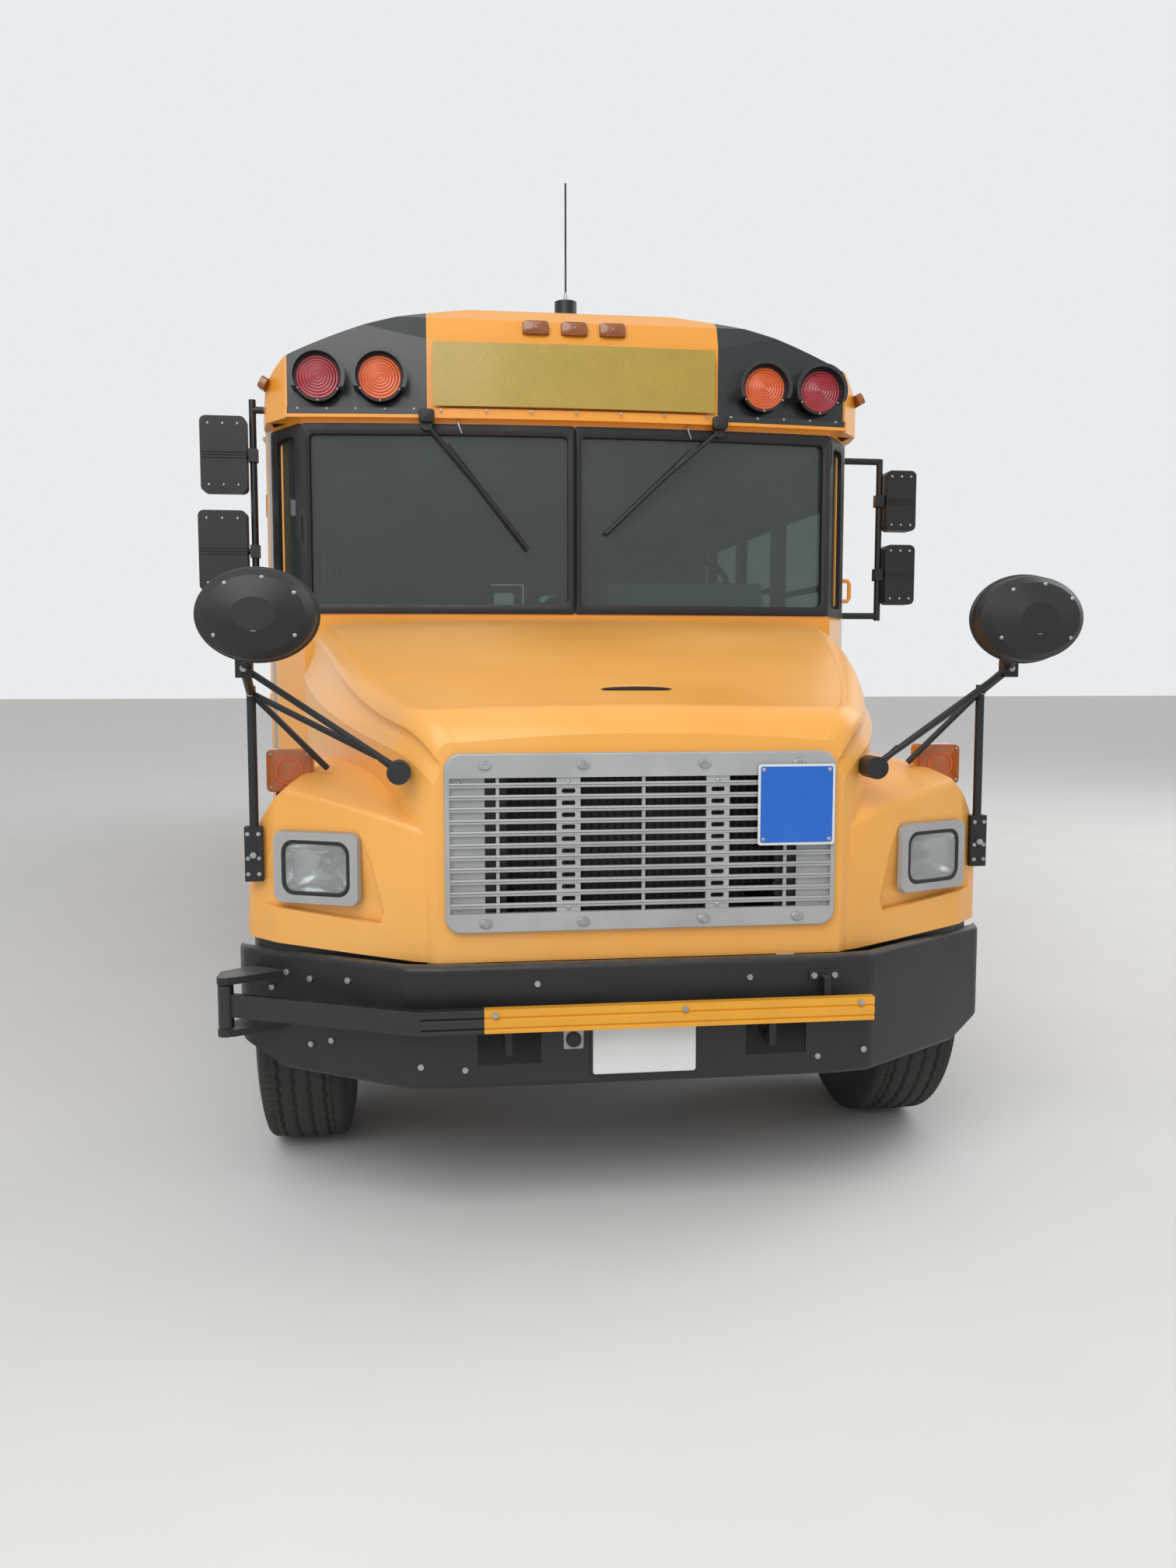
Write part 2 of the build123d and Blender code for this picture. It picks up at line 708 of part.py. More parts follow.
with BuildPart() as front_cap:
    with BuildSketch(section(cap_front - 20)):
        with BuildLine():
            roof_outline(body_half, roof_top, crown_radius, corner_radius, cap_bottom)
        make_face()
    extrude(amount=-(side_front - cap_front + 20))
    with BuildSketch(Plane.XY.offset(cap_bottom - 10)):
        with BuildLine():
            bow = (body_half - cap_corner + 20, at(cap_station(body_half - cap_corner)))
            ThreePointArc((-bow[0], bow[1]), (0, at(cap_front)), bow)
            Polyline(bow, (body_half - 25, at(cap_front + cap_corner + 60)),
                     (body_half, at(side_front - 100)),
                     (body_half, at(side_front)), (-body_half, at(side_front)),
                     (-body_half, at(side_front - 100)),
                     (-body_half + 25, at(cap_front + cap_corner + 60)), (-bow[0], bow[1]))
        make_face()
    extrude(amount=roof_top - cap_bottom + 50, mode=Mode.INTERSECT)
    with BuildSketch(side_plane(-body_half - 10)):
        with BuildLine():
            Polyline((at(cap_front - 5), cap_bottom), (at(cap_front), lamp_z + 110),
                     (at(cap_front + cap_lean), roof_top - 90),
                     (at(cap_front + cap_lean + 90), roof_top - 30),
                     (at(side_front - 120), roof_top + 1),
                     (at(side_front + 10), roof_top + 1), (at(side_front + 10), cap_bottom), close=True)
        make_face()
    extrude(amount=2 * body_half + 20, mode=Mode.INTERSECT)
    with BuildSketch(Plane.XY.offset(cap_bottom)):
        with BuildLine():
            ends = [(bow[0], bow[1] - visor_reach), (0, at(cap_front) - visor_reach)]
            ThreePointArc((-ends[0][0], ends[0][1]), ends[1], ends[0])
            Line(ends[0], (bow[0], bow[1] + visor_reach))
            ThreePointArc((bow[0], bow[1] + visor_reach), (0, at(cap_front) + visor_reach),
                          (-bow[0], bow[1] + visor_reach))
            Line((-bow[0], bow[1] + visor_reach), (-ends[0][0], ends[0][1]))
        make_face()
    extrude(amount=visor_height)
    add(cap_inner.part, mode=Mode.SUBTRACT)
    for x in (-150, 0, 150):
        block(x - 50, x + 50, marker_station - 45, marker_station + 5, marker_z - 50, marker_z, Mode.SUBTRACT)
    for side in (-1, 1):
        for x, radius in lamp_rows:
            face = cap_station(x)
            with BuildSketch(section(face - hood_reach)):
                with Locations((side * x, lamp_z)):
                    Circle(radius + hood_lip)
                    Circle(radius, mode=Mode.SUBTRACT)
                with Locations((side * x, lamp_z - radius)):
                    Rectangle(3 * radius, 1.1 * radius, mode=Mode.SUBTRACT)
            extrude(amount=-(hood_reach + 40))
            round_bar((side * x, face - 60, lamp_z), (side * x, face + 60, lamp_z), radius, Mode.SUBTRACT)
write(front_cap.part, "front_cap")

# Rear wall with its doorway, two windows and four lamps
rear_door_half = 430
rear_door_bottom = floor_top - floor_depth
rear_door_top = 2400
rear_wall_bottom = rear_bumper_top + 20
window_middle = window_sill + window_height / 2
rear_window_x = 830
rear_window_width = 480
rear_lamp_z = 2600
tail_lamp_rows = [(960, 1290, 90), (960, 1480, 50)]    # X, height and radius

with BuildPart() as rear_wall:
    with BuildSketch(section(rear_face - wall)):
        with BuildLine():
            roof_outline(body_half, roof_top, crown_radius, corner_radius, rear_wall_bottom)
        make_face()
        with Locations((0, (rear_door_bottom + rear_door_top) / 2)):
            Rectangle(2 * rear_door_half, rear_door_top - rear_door_bottom, mode=Mode.SUBTRACT)
        with Locations((-rear_window_x, window_middle), (rear_window_x, window_middle)):
            RectangleRounded(rear_window_width, window_height, window_round, mode=Mode.SUBTRACT)
    extrude(amount=-wall)
    for side in (-1, 1):
        for x, radius in lamp_rows:
            with BuildSketch(section(rear_face)):
                with Locations((side * x, rear_lamp_z)):
                    Circle(radius + hood_lip)
                    Circle(radius, mode=Mode.SUBTRACT)
                with Locations((side * x, rear_lamp_z - radius)):
                    Rectangle(3 * radius, 1.1 * radius, mode=Mode.SUBTRACT)
            extrude(amount=-hood_reach)
write(rear_wall.part, "rear_wall")

# Lamps
lens_depth = 30

with BuildPart() as warning_lamps:
    for side in (-1, 1):
        for x, radius in lamp_rows:
            face = cap_station(x)
            round_bar((side * x, face - 12, lamp_z), (side * x, face + 60, lamp_z), radius)
            round_bar((side * x, rear_face, rear_lamp_z), (side * x, rear_face + lens_depth, rear_lamp_z),
                      radius)
write(warning_lamps.part, "warning_lamps")


with BuildPart() as small_lamps:
    for side in (-1, 1):
        for x, z, radius in tail_lamp_rows:
            round_bar((side * x, rear_face, z), (side * x, rear_face + lens_depth, z), radius)
    for x in (-150, 0, 150):
        block(x - 50, x + 50, marker_station - 45, marker_station + 5, marker_z - 50, marker_z)
        block(x - 50, x + 50, rear_face, rear_face + 25, 2820, 2870)
write(small_lamps.part, "small_lamps")

# Glass and window sashes
with BuildPart() as sashes:
    for side in (-1, 1):
        for middle, width, sill, height in windows_of(side):
            with BuildSketch(side_plane(side * (body_half - wall / 2) - sash_depth / 2)):
                with Locations((at(middle), sill + height / 2)):
                    RectangleRounded(width, height, window_round)
                    inner_width = width - 2 * sash_width
                    inner_height = (height - 3 * sash_width) / 2
                    for row in (-0.5, 0.5):
                        with Locations((0, row * (inner_height + sash_width))):
                            Rectangle(inner_width, inner_height, mode=Mode.SUBTRACT)
            extrude(amount=sash_depth)
write(sashes.part, "window_sashes")

with BuildPart() as glass:
    for side in (-1, 1):
        for middle, width, sill, height in windows_of(side):
            with BuildSketch(side_plane(side * (body_half - wall / 2) - pane / 2)):
                with Locations((at(middle), sill + height / 2)):
                    inner_width = width - 2 * sash_width
                    inner_height = (height - 3 * sash_width) / 2
                    for row in (-0.5, 0.5):
                        with Locations((0, row * (inner_height + sash_width))):
                            Rectangle(inner_width, inner_height)
            extrude(amount=pane)
    with BuildSketch(section(rear_face - wall / 2 - pane / 2)):
        with Locations((-rear_window_x, window_middle), (rear_window_x, window_middle)):
            RectangleRounded(rear_window_width, window_height, window_round)
    extrude(amount=-pane)
write(glass.part, "body_glass")

with BuildPart() as screen_band:
    with BuildSketch(Plane.XY.offset(pane_low)):
        with BuildLine():
            front_plan(glass_front, (front_wall - pane) / 2, side_front)
        make_face()
    extrude(amount=pane_high - pane_low)
    with BuildSketch(Plane.XY.offset(pane_low - 1)):
        with BuildLine():
            front_plan(glass_front, (front_wall + pane) / 2, side_front + 1)
        make_face()
    extrude(amount=pane_high - pane_low + 2, mode=Mode.SUBTRACT)

with BuildPart() as windshield:
    for side in (-1, 1):
        block(side * centre_post / 2, side * pane_half, glass_front - 5, glass_front + 200, pane_low,
              pane_high)
        block(side * (plan_half - 60), side * (body_half + 5), corner_pane_start, corner_pane_end, pane_low,
              pane_high)
    add(screen_band.part, mode=Mode.INTERSECT)
write(windshield.part, "windshield")

# Seats, driver's seat and dashboard
seat_outer = body_half - wall - 12
seat_width = 960
seat_base = 330
seat_pad = 120
seat_depth = 420
seat_back = 90
seat_height = 990
seat_rise = floor_top + seat_base
seat_round = 38
seat_joint = 6           # between a cushion and its back

with BuildPart() as benches:
    for side, rows in ((1, left_bays), (-1, right_bays)):
        for k in rows:
            back = bay_middle(k) + 260
            x0 = seat_outer - seat_width if side > 0 else -seat_outer
            with BuildSketch(side_plane(x0)):
                with Locations((at(back - seat_back - seat_joint - seat_depth / 2),
                                seat_rise + seat_pad / 2)):
                    RectangleRounded(seat_depth, seat_pad, seat_round)
                with BuildLine():
                    FilletPolyline((at(back - seat_back), seat_rise), (at(back), seat_rise),
                                   (at(back + 40), floor_top + seat_height),
                                   (at(back - 30), floor_top + seat_height),
                                   close=True, radius=0.8 * seat_round)
                make_face()
            extrude(amount=seat_width)
write(benches.part, "seat_cushions")

with BuildPart() as seat_frames:
    for side, rows in ((1, left_bays), (-1, right_bays)):
        for k in rows:
            back = bay_middle(k) + 260
            for x in (seat_outer - 100, seat_outer - seat_width + 120):
                block(side * (x - 15), side * (x + 15), back - 420, back - 80, seat_rise - 30, seat_rise)
                for post in (back - 420, back - 110):
                    foot = box_top + 25 if abs(post + 15 - rear_axle) < box_half_length + 15 else floor_top
                    block(side * (x - 15), side * (x + 15), post, post + 30, foot, seat_rise)
write(seat_frames.part, "seat_frames")

driver_x = 560
driver_station = 2560
driver_half = 250
driver_rise = 1480
driver_pad = 110
pedestal_half = 160
driver_back = [(168, 30), (250, 10), (300, 700), (200, 720)]     # past the seat's middle and above its pan

with BuildPart() as driver_seat:
    with BuildSketch(side_plane(driver_x - driver_half)):
        with Locations((at(driver_station - 55), driver_rise + driver_pad / 2)):
            RectangleRounded(430, driver_pad, seat_round)
        with BuildLine():
            FilletPolyline(*[(at(driver_station + s), driver_rise + z) for s, z in driver_back], close=True,
                           radius=30)
        make_face()
    extrude(amount=2 * driver_half)
    block(driver_x - pedestal_half, driver_x + pedestal_half, driver_station - 180, driver_station + 130,
          floor_top,
          driver_rise - 32)
    block(driver_x - driver_half + 20, driver_x + driver_half - 20, driver_station - 250,
          driver_station + 250,
          driver_rise - 33, driver_rise - 2)
write(driver_seat.part, "driver_seat")

wheel_station = 2090
wheel_z = 1905
wheel_tilt = 35
wheel_rim = 225
wheel_x = driver_x - 60
grip_radius = 14
dash_front = glass_front + 110
dash_half = 930
dash_top = 1765
dash_bottom = 1420
binnacle_top = 1925
binnacle_from = 160
binnacle_width = 640
post_width = 40

with BuildPart() as dashboard:
    with BuildSketch(side_plane(-dash_half)):
        with BuildLine():
            FilletPolyline((at(dash_front), dash_bottom), (at(1860), dash_bottom),
                           (at(1900), dash_bottom + 120),
                           (at(1870), dash_top), (at(dash_front), dash_top - 25), close=True, radius=18)
        make_face()
    extrude(amount=2 * dash_half)
    with BuildSketch(side_plane(binnacle_from)):
        with BuildLine():
            FilletPolyline((at(1700), dash_top - 30), (at(1935), dash_top - 60),
                           (at(1905), binnacle_top - 20),
                           (at(1790), binnacle_top), close=True, radius=25)
        make_face()
    extrude(amount=binnacle_width)
    for side in (-1, 1):
        block(side * (dash_half - post_width), side * dash_half, dash_front + 10, 1850, floor_top,
              dash_bottom + 20)
    hub_plane = Plane(origin=(wheel_x, at(wheel_station), wheel_z), x_dir=(1, 0, 0),
                      z_dir=(0, sin(radians(wheel_tilt)), cos(radians(wheel_tilt))))
    with Locations(hub_plane):
        Torus(wheel_rim, grip_radius)
        Cylinder(45, 40)
        Cylinder(24, 260, align=(Align.CENTER, Align.CENTER, Align.MAX))
    for spoke in (0, 120, 240):
        with Locations(hub_plane.rotated((0, 0, spoke))):
            with Locations((wheel_rim / 2, 0, 0)):
                Box(wheel_rim, 26, 12)
write(dashboard.part, "dashboard")

# Mirrors on the body: two heads with a ribbed band on each side, on a post or a bracket
head_depth = 70
head_corner = 24
rib_height = 5
rib_pitch = 11
right_post = -1262
right_station = 1915
left_post = 1400
left_station = 2035
mirror_rows = [          # X from and to, height from and to, station of the back, X and station of the post
    (-1465, -1285, 2270, 2570, 1880, right_post, right_station),
    (-1480, -1290, 1880, 2200, 1880, right_post, right_station),
    (1422, 1556, 2170, 2430, 2000, left_post, left_station),
    (1422, 1556, 1850, 2110, 2000, left_post, left_station)]
post_bars = [            # X, station and Z of each bar's ends
    ((right_post, right_station, 1800), (right_post, right_station, 2640)),
    ((right_post, right_station, 2600), (-body_half + 1, right_station, 2600)),
    ((right_post, right_station, 1830), (-1201, right_station, 1830)),
    ((left_post, left_station, 1780), (left_post, left_station, 2480)),
    ((left_post, left_station, 2470), (body_half, left_station, 2470)),
    ((left_post, left_station, 1800), (body_half, left_station, 1800))]

with BuildPart() as side_mirrors:
    for x0, x1, z0, z1, back, post, station in mirror_rows:
        middle_x, middle_z = (x0 + x1) / 2, (z0 + z1) / 2
        with BuildSketch(section(back)):
            with Locations((middle_x, middle_z)):
                RectangleRounded(x1 - x0, z1 - z0, head_corner)
        extrude(amount=-head_depth)
        with BuildSketch(section(back + head_depth)):
            with Locations((middle_x, middle_z)):
                RectangleRounded(x1 - x0 - 16, z1 - z0 - 16, head_corner - 8)
        extrude(amount=5, mode=Mode.SUBTRACT)
        for k in (-1, 0, 1):
            block(x0 + 6, x1 - 6, back - 4, back, middle_z + k * rib_pitch - rib_height / 2,
                  middle_z + k * rib_pitch + rib_height / 2)
        inner = x1 - 60 if x0 < 0 else x0 + 30
        round_bar((inner, station, middle_z), (post, station, middle_z), 12)
        with Locations((post, at(station), middle_z)):
            Box(36, 44, 52)
    for start, end in post_bars:
        round_bar(start, end, 14)
write(side_mirrors.part, "side_mirrors")

with BuildPart() as antenna:
    round_bar((0, 1900, roof_top), (0, 1900, roof_top + 60), 45)
    round_bar((0, 1900, roof_top + 50), (0, 1900, 3530), 4)
write(antenna.part, "antenna")

# Wipers hung from the header, lying in front of the glass
with BuildPart() as wipers:
    for pivot, tip_x, tip_z in ((-573, -185, 2030), (573, 122, 2095)):
        round_bar((pivot, 1575, cap_bottom - 26), (pivot, 1605, cap_bottom - 26), 22)
        round_bar((pivot, 1582, cap_bottom - 24), ((pivot + tip_x) / 2, 1582, (cap_bottom + tip_z) / 2), 8)
        round_bar(((4 * pivot + tip_x) / 5, 1586, (4 * cap_bottom + tip_z) / 5), (tip_x, 1586, tip_z), 9)
write(wipers.part, "wipers")

# Hood: bonnet and front fenders in one shell, hinged at its lower front edge
hood_skin = 14
hood_bottom = 760
lip_rise = 35            # the lower edge climbs by this much towards the fenders' sides
lip_flat = 620
fender_half = 1135
fender_top = 1300
fender_break = 800
fender_shoulder = (1012, 1216)
fender_side = (1095, 1060)
fender_fall = [(60, 1120), (200, 1215), (520, 1280)]     # station and height where a fender drops
fender_plan = [          # half width and station of the front, seen from above
    (600, 60), (780, 137), (1025, 250), (1105, 325), (fender_half, 440)]
fender_round = 25
lamp_centre_x = 902
lamp_centre_station = 193
lamp_sweep = 24.8
lamp_z_hood = 1010
lamp_hole_width = 230
lamp_hole_height = 170
recess_lean = 5
recess_top = 122         # above the lamp's middle, where the recess round the lamp starts
recess_outline = [(-122, 0), (-165, -95), (-203, -235), (-190, -272), (330, -222), (330, 0)]
fender_round_end = 330
grille_half = 550
grille_low = 845
grille_high = 1340
scoop_from = -80         # the slit in the bonnet
scoop_to = 130
scoop_station = 300
scoop_width = 8
ridge_width = 34
nose_rows = 3            # the nose is lofted through this many rows, and the bonnet through the rest
bonnet_rows = [          # station, half width below, X and Z of the ridge, shoulder and crown, and the top
    (40, 572, 578, 1255, 570, 1325, 515, 1368, 1392),
    (75, 612, 622, 1300, 612, 1375, 545, 1424, 1440),
    (160, 640, 690, 1345, 674, 1415, 600, 1462, 1474),
    (480, 760, 818, 1392, 790, 1480, 710, 1534, 1550),
    (960, 930, 950, 1458, 905, 1592, 820, 1650, 1665),
    (1535, 1020, 1048, 1540, 1006, 1672, 925, 1738, 1757)]


def bonnet_outline(row, inset, bottom):
    """Closed outline across the bonnet: upright sides up to a raised ridge, a hollow band above the ridge,
    a round shoulder and a crowned top."""
    _, low, ridge_x, ridge_z, shoulder_x, shoulder_z, crown_x, crown_z, top = row
    half = [(low - inset, bottom), (ridge_x - inset, ridge_z),
            (ridge_x - inset - 0.5 * ridge_width, ridge_z + 0.87 * ridge_width - inset)]
    shoulder = (shoulder_x - inset, shoulder_z - 0.5 * inset)
    crown = (crown_x - 0.5 * inset, crown_z - inset)
    hollow = ((half[2][0] + shoulder[0]) / 2 - 8, (half[2][1] + shoulder[1]) / 2 - 3)
    round_mid = ((shoulder[0] + crown[0]) / 2 + 12, (shoulder[1] + crown[1]) / 2 + 14)
    for side in (1, -1):
        Polyline(*[(side * x, z) for x, z in half])
        ThreePointArc(*[(side * x, z) for x, z in (half[2], hollow, shoulder)])
        ThreePointArc(*[(side * x, z) for x, z in (shoulder, round_mid, crown)])
    ThreePointArc((crown[0], crown[1]), (0, top - inset), (-crown[0], crown[1]))
    Line((-half[0][0], bottom), (half[0][0], bottom))


def lamp_face(side):
    """Plane of a headlamp's face: its x runs across the lamp and its z points forwards and outwards."""
    turn = radians(lamp_sweep)
    return Plane(origin=(side * lamp_centre_x, at(lamp_centre_station), lamp_z_hood),
                 x_dir=(cos(turn), side * sin(turn), 0), z_dir=(side * sin(turn), -cos(turn), 0))


volumes = []
for inset in (0, hood_skin):
    drop = 0 if inset == 0 else 60
    with BuildPart() as volume:
        with BuildSketch(section(20)):
            with BuildLine():
                Line((0, fender_top - inset), (fender_break, fender_top - inset))
                ThreePointArc((fender_break, fender_top - inset),
                              (fender_shoulder[0] - 0.8 * inset, fender_shoulder[1] - 0.7 * inset),
                              (fender_side[0] - inset, fender_side[1]))
                Polyline((fender_side[0] - inset, fender_side[1]), (fender_half - inset, hood_bottom - drop),
                         (0, hood_bottom - drop), (0, fender_top - inset))
            make_face()
            mirror(about=Plane.YZ)
        extrude(amount=-(hood_rear - 20 + drop))
        with BuildSketch(Plane.XY.offset(hood_bottom - 100)):
            with BuildLine():
                bend = [(x - inset * x / fender_half, at(station + inset)) for x, station in fender_plan]
                FilletPolyline((0, bend[0][1]), *bend, (bend[-1][0], at(hood_rear + drop)), radius=70)
                Polyline((bend[-1][0], at(hood_rear + drop)), (0, at(hood_rear + drop)), (0, bend[0][1]))
            make_face()
            mirror(about=Plane.YZ)
        extrude(amount=700, mode=Mode.INTERSECT)
        with BuildSketch(side_plane(-fender_half - 10)):
            with BuildLine():
                fall = [(at(fender_fall[0][0] + inset), fender_fall[0][1]),
                        (at(fender_fall[1][0] + inset), fender_fall[1][1] - inset),
                        (at(fender_fall[2][0]), fender_fall[2][1] - inset)]
                Polyline((at(hood_rear + drop), fender_top - inset),
                         (at(hood_rear + drop), hood_bottom - drop),
                         (fall[0][0], hood_bottom - drop), fall[0])
                ThreePointArc(*fall)
                Line(fall[2], (at(hood_rear + drop), fender_top - inset))
            make_face()
        extrude(amount=2 * fender_half + 20, mode=Mode.INTERSECT)
        front_edges = [e for e in volume.edges() if abs(e.center().X) > lip_flat
                       and e.center().Z > fender_side[1] and e.center().Y < at(fender_round_end)
                       and e.geom_type != GeomType.LINE]
        fillet(front_edges, fender_round - 0.6 * inset)
        for rows in (bonnet_rows[:nose_rows], bonnet_rows[nose_rows - 1:]):
            for row in rows:
                shift = drop if row[0] == hood_rear else inset
                with BuildSketch(section(row[0] + shift)):
                    with BuildLine():
                        bonnet_outline(row, inset, hood_bottom - drop)
                    make_face()
            loft()
    volumes.append(volume.part)

with BuildPart() as hood:
    add(volumes[0])
    add(volumes[1], mode=Mode.SUBTRACT)
    for side in (-1, 1):
        round_bar((side * (fender_half - 200), front_axle, tyre_radius),
                  (side * (fender_half + 10), front_axle, tyre_radius), arch_radius, Mode.SUBTRACT)
        lamp_plane = lamp_face(side)
        recess_plane = Plane(origin=lamp_plane.from_local_coords((0, recess_top, 0)), x_dir=lamp_plane.x_dir,
                             z_dir=lamp_plane.z_dir.rotate(Axis((0, 0, 0), lamp_plane.x_dir), recess_lean))
        with BuildSketch(recess_plane):
            with BuildLine():
                FilletPolyline(*[(side * x, z) for x, z in recess_outline], close=True, radius=12)
            make_face()
        extrude(amount=60, mode=Mode.SUBTRACT)
        with BuildSketch(lamp_plane.offset(60)):
            RectangleRounded(lamp_hole_width, lamp_hole_height, 30)
        extrude(amount=-200, mode=Mode.SUBTRACT)
        with BuildSketch(section(0)):
            with BuildLine():
                Polyline((side * lip_flat, hood_bottom - 1),
                         (side * (fender_half + 5), hood_bottom + lip_rise),
                         (side * (fender_half + 5), hood_bottom - 1), close=True)
            make_face()
        extrude(amount=-hood_rear - 100, mode=Mode.SUBTRACT)
    block(-grille_half + 30, grille_half - 30, 10, 100, grille_low + 30, grille_high - 30, Mode.SUBTRACT)
    for side in (-1, 1):
        block(side * hinge_inner, side * hinge_outer, hood_front + 10, hinge_station, hinge_z - hinge_barrel,
              hinge_z + hinge_barrel)
        round_bar((side * hinge_inner, hinge_station, hinge_z), (side * hinge_outer, hinge_station, hinge_z),
                  hinge_barrel)
        round_bar((side * hinge_inner, hinge_station, hinge_z),
                  (side * (hinge_outer + 2 * hinge_gap + hinge_ear), hinge_station, hinge_z), hinge_pin)
    block(scoop_from, scoop_to, scoop_station - scoop_width / 2, scoop_station + scoop_width / 2,
          fender_top + 50, roof_top, Mode.SUBTRACT)
write(hood.part, "hood")

# Grille: a moulded frame with double-ridged bars, two slotted straps, thin struts and blank end plates
grille_bars = 11
grille_depth = 20
grille_corner = 45
grille_rim = 14
top_rail = 67
bottom_rail = 54
bar_height = 13
bar_groove = 3
bar_end_gap = 21         # from a rail's edge to the middle of the first bar
strap_x = 210
strap_half = 33
slot_width = 38
slot_height = 13
strut_half = 4.5
strut_columns = [-405, 0, 405]
end_plate_inner = 440

inner_low = grille_low + bottom_rail
inner_high = grille_high - top_rail
bar_pitch = (inner_high - inner_low - 2 * bar_end_gap) / (grille_bars - 1)
bar_heights = [inner_low + bar_end_gap + bar_pitch * k for k in range(grille_bars)]
grille_face = hood_front - grille_depth

with BuildPart() as grille:
    with BuildSketch(section(grille_face)):
        with Locations((0, (grille_low + grille_high) / 2)):
            RectangleRounded(2 * grille_half, grille_high - grille_low, grille_corner)
    extrude(amount=-grille_depth)
    fillet(grille.edges().group_by(Axis.Y)[0], 5)
    block(-grille_half + grille_rim, grille_half - grille_rim, grille_face - 1, hood_front + 1, inner_low,
          inner_high, Mode.SUBTRACT)
    for x in (-strap_x, strap_x):
        block(x - strap_half, x + strap_half, grille_face + 5, hood_front - 6, inner_low, inner_high)
        for low, high in zip(bar_heights, bar_heights[1:]):
            with BuildSketch(section(grille_face)):
                with Locations((x, (low + high) / 2)):
                    RectangleRounded(slot_width, slot_height, 5)
            extrude(amount=-grille_depth, mode=Mode.SUBTRACT)
    for x in strut_columns:
        block(x - strut_half, x + strut_half, grille_face + 7, hood_front - 4, inner_low, inner_high)
    for side in (-1, 1):
        block(side * end_plate_inner, side * (grille_half - grille_rim), hood_front - 6, hood_front - 1,
              inner_low,
              inner_high)
    with BuildSketch(side_plane(-grille_half + grille_rim)):
        for z in bar_heights:
            face, back, top = at(grille_face + 2), at(hood_front - 4), bar_height / 2
            with BuildLine():
                Polyline((back, z - top), (face + 1, z - top), (face, z - top + 2), (face, z - 1),
                         (face + bar_groove, z), (face, z + 1), (face, z + top - 2), (face + 1, z + top),
                         (back, z + top), close=True)
            make_face()
    extrude(amount=2 * (grille_half - grille_rim))
write(grille.part, "grille")

# Headlamps in bevelled bezels, and turn signals on wedge feet
bezel_width = 270
bezel_height = 208
bezel_corner = 28
bezel_depth = 26
bezel_bevel = 12
lens_width = 200
lens_height = 142
lens_corner = 30
signal_x = 990           # middle of a turn signal, its width, height and depth
signal_width = 130
signal_height = 120
signal_depth = 60
signal_bottom = 1213
signal_station = 350
foot_height = 48

with BuildPart() as bezels:
    for side in (-1, 1):
        with BuildSketch(lamp_face(side).offset(1)):
            RectangleRounded(bezel_width, bezel_height, bezel_corner)
        extrude(amount=bezel_depth - 10, taper=12)
        with BuildSketch(lamp_face(side).offset(bezel_depth)):
            RectangleRounded(lens_width + 2 * bezel_bevel, lens_height + 2 * bezel_bevel,
                             lens_corner + bezel_bevel)
        extrude(amount=-bezel_depth, taper=25, mode=Mode.SUBTRACT)
        with BuildSketch(lamp_face(side)):
            RectangleRounded(lens_width, lens_height, lens_corner)
        extrude(amount=bezel_depth, mode=Mode.SUBTRACT)
write(bezels.part, "headlamp_bezels")

with BuildPart() as headlamps:
    for side in (-1, 1):
        with BuildSketch(lamp_face(side).offset(8)):
            RectangleRounded(lens_width, lens_height, lens_corner)
        extrude(amount=-70)
write(headlamps.part, "headlamps")

with BuildPart() as turn_signals:
    for side in (-1, 1):
        with BuildSketch(section(signal_station)):
            with Locations((side * signal_x, signal_bottom + signal_height / 2)):
                RectangleRounded(signal_width, signal_height, 10)
        extrude(amount=-signal_depth)
        block(side * (signal_x - 40), side * (signal_x + 40), signal_station,
              signal_station + signal_depth + 20,
              signal_bottom - foot_height, signal_bottom)
    add(volumes[0], mode=Mode.SUBTRACT)
write(turn_signals.part, "turn_signals")

# Crossover mirrors: domed heads on posts, each steadied by two tubes from a clamp and one to the fender
post_x = 1085
post_station = 275
post_foot = 980
post_top = 1520
post_radius = 13
tube_radius = 9
foot_plate = (1062, 1112, 262, 300, 963, 1120)     # X from and to, stations, heights
ball_point = (1025, -90, 1660)
clamp_point = (1075, 70, 1570)
disc_point = (671, 22, 1289)
disc_radius = 32
head_x = 1012
head_z = 1703
head_station = -163
head_width = 150
head_height = 115
dome_rows = [(0, 1.0), (-28, 0.97), (-52, 0.82), (-75, 0.35)]   # station past the rim, share of its size

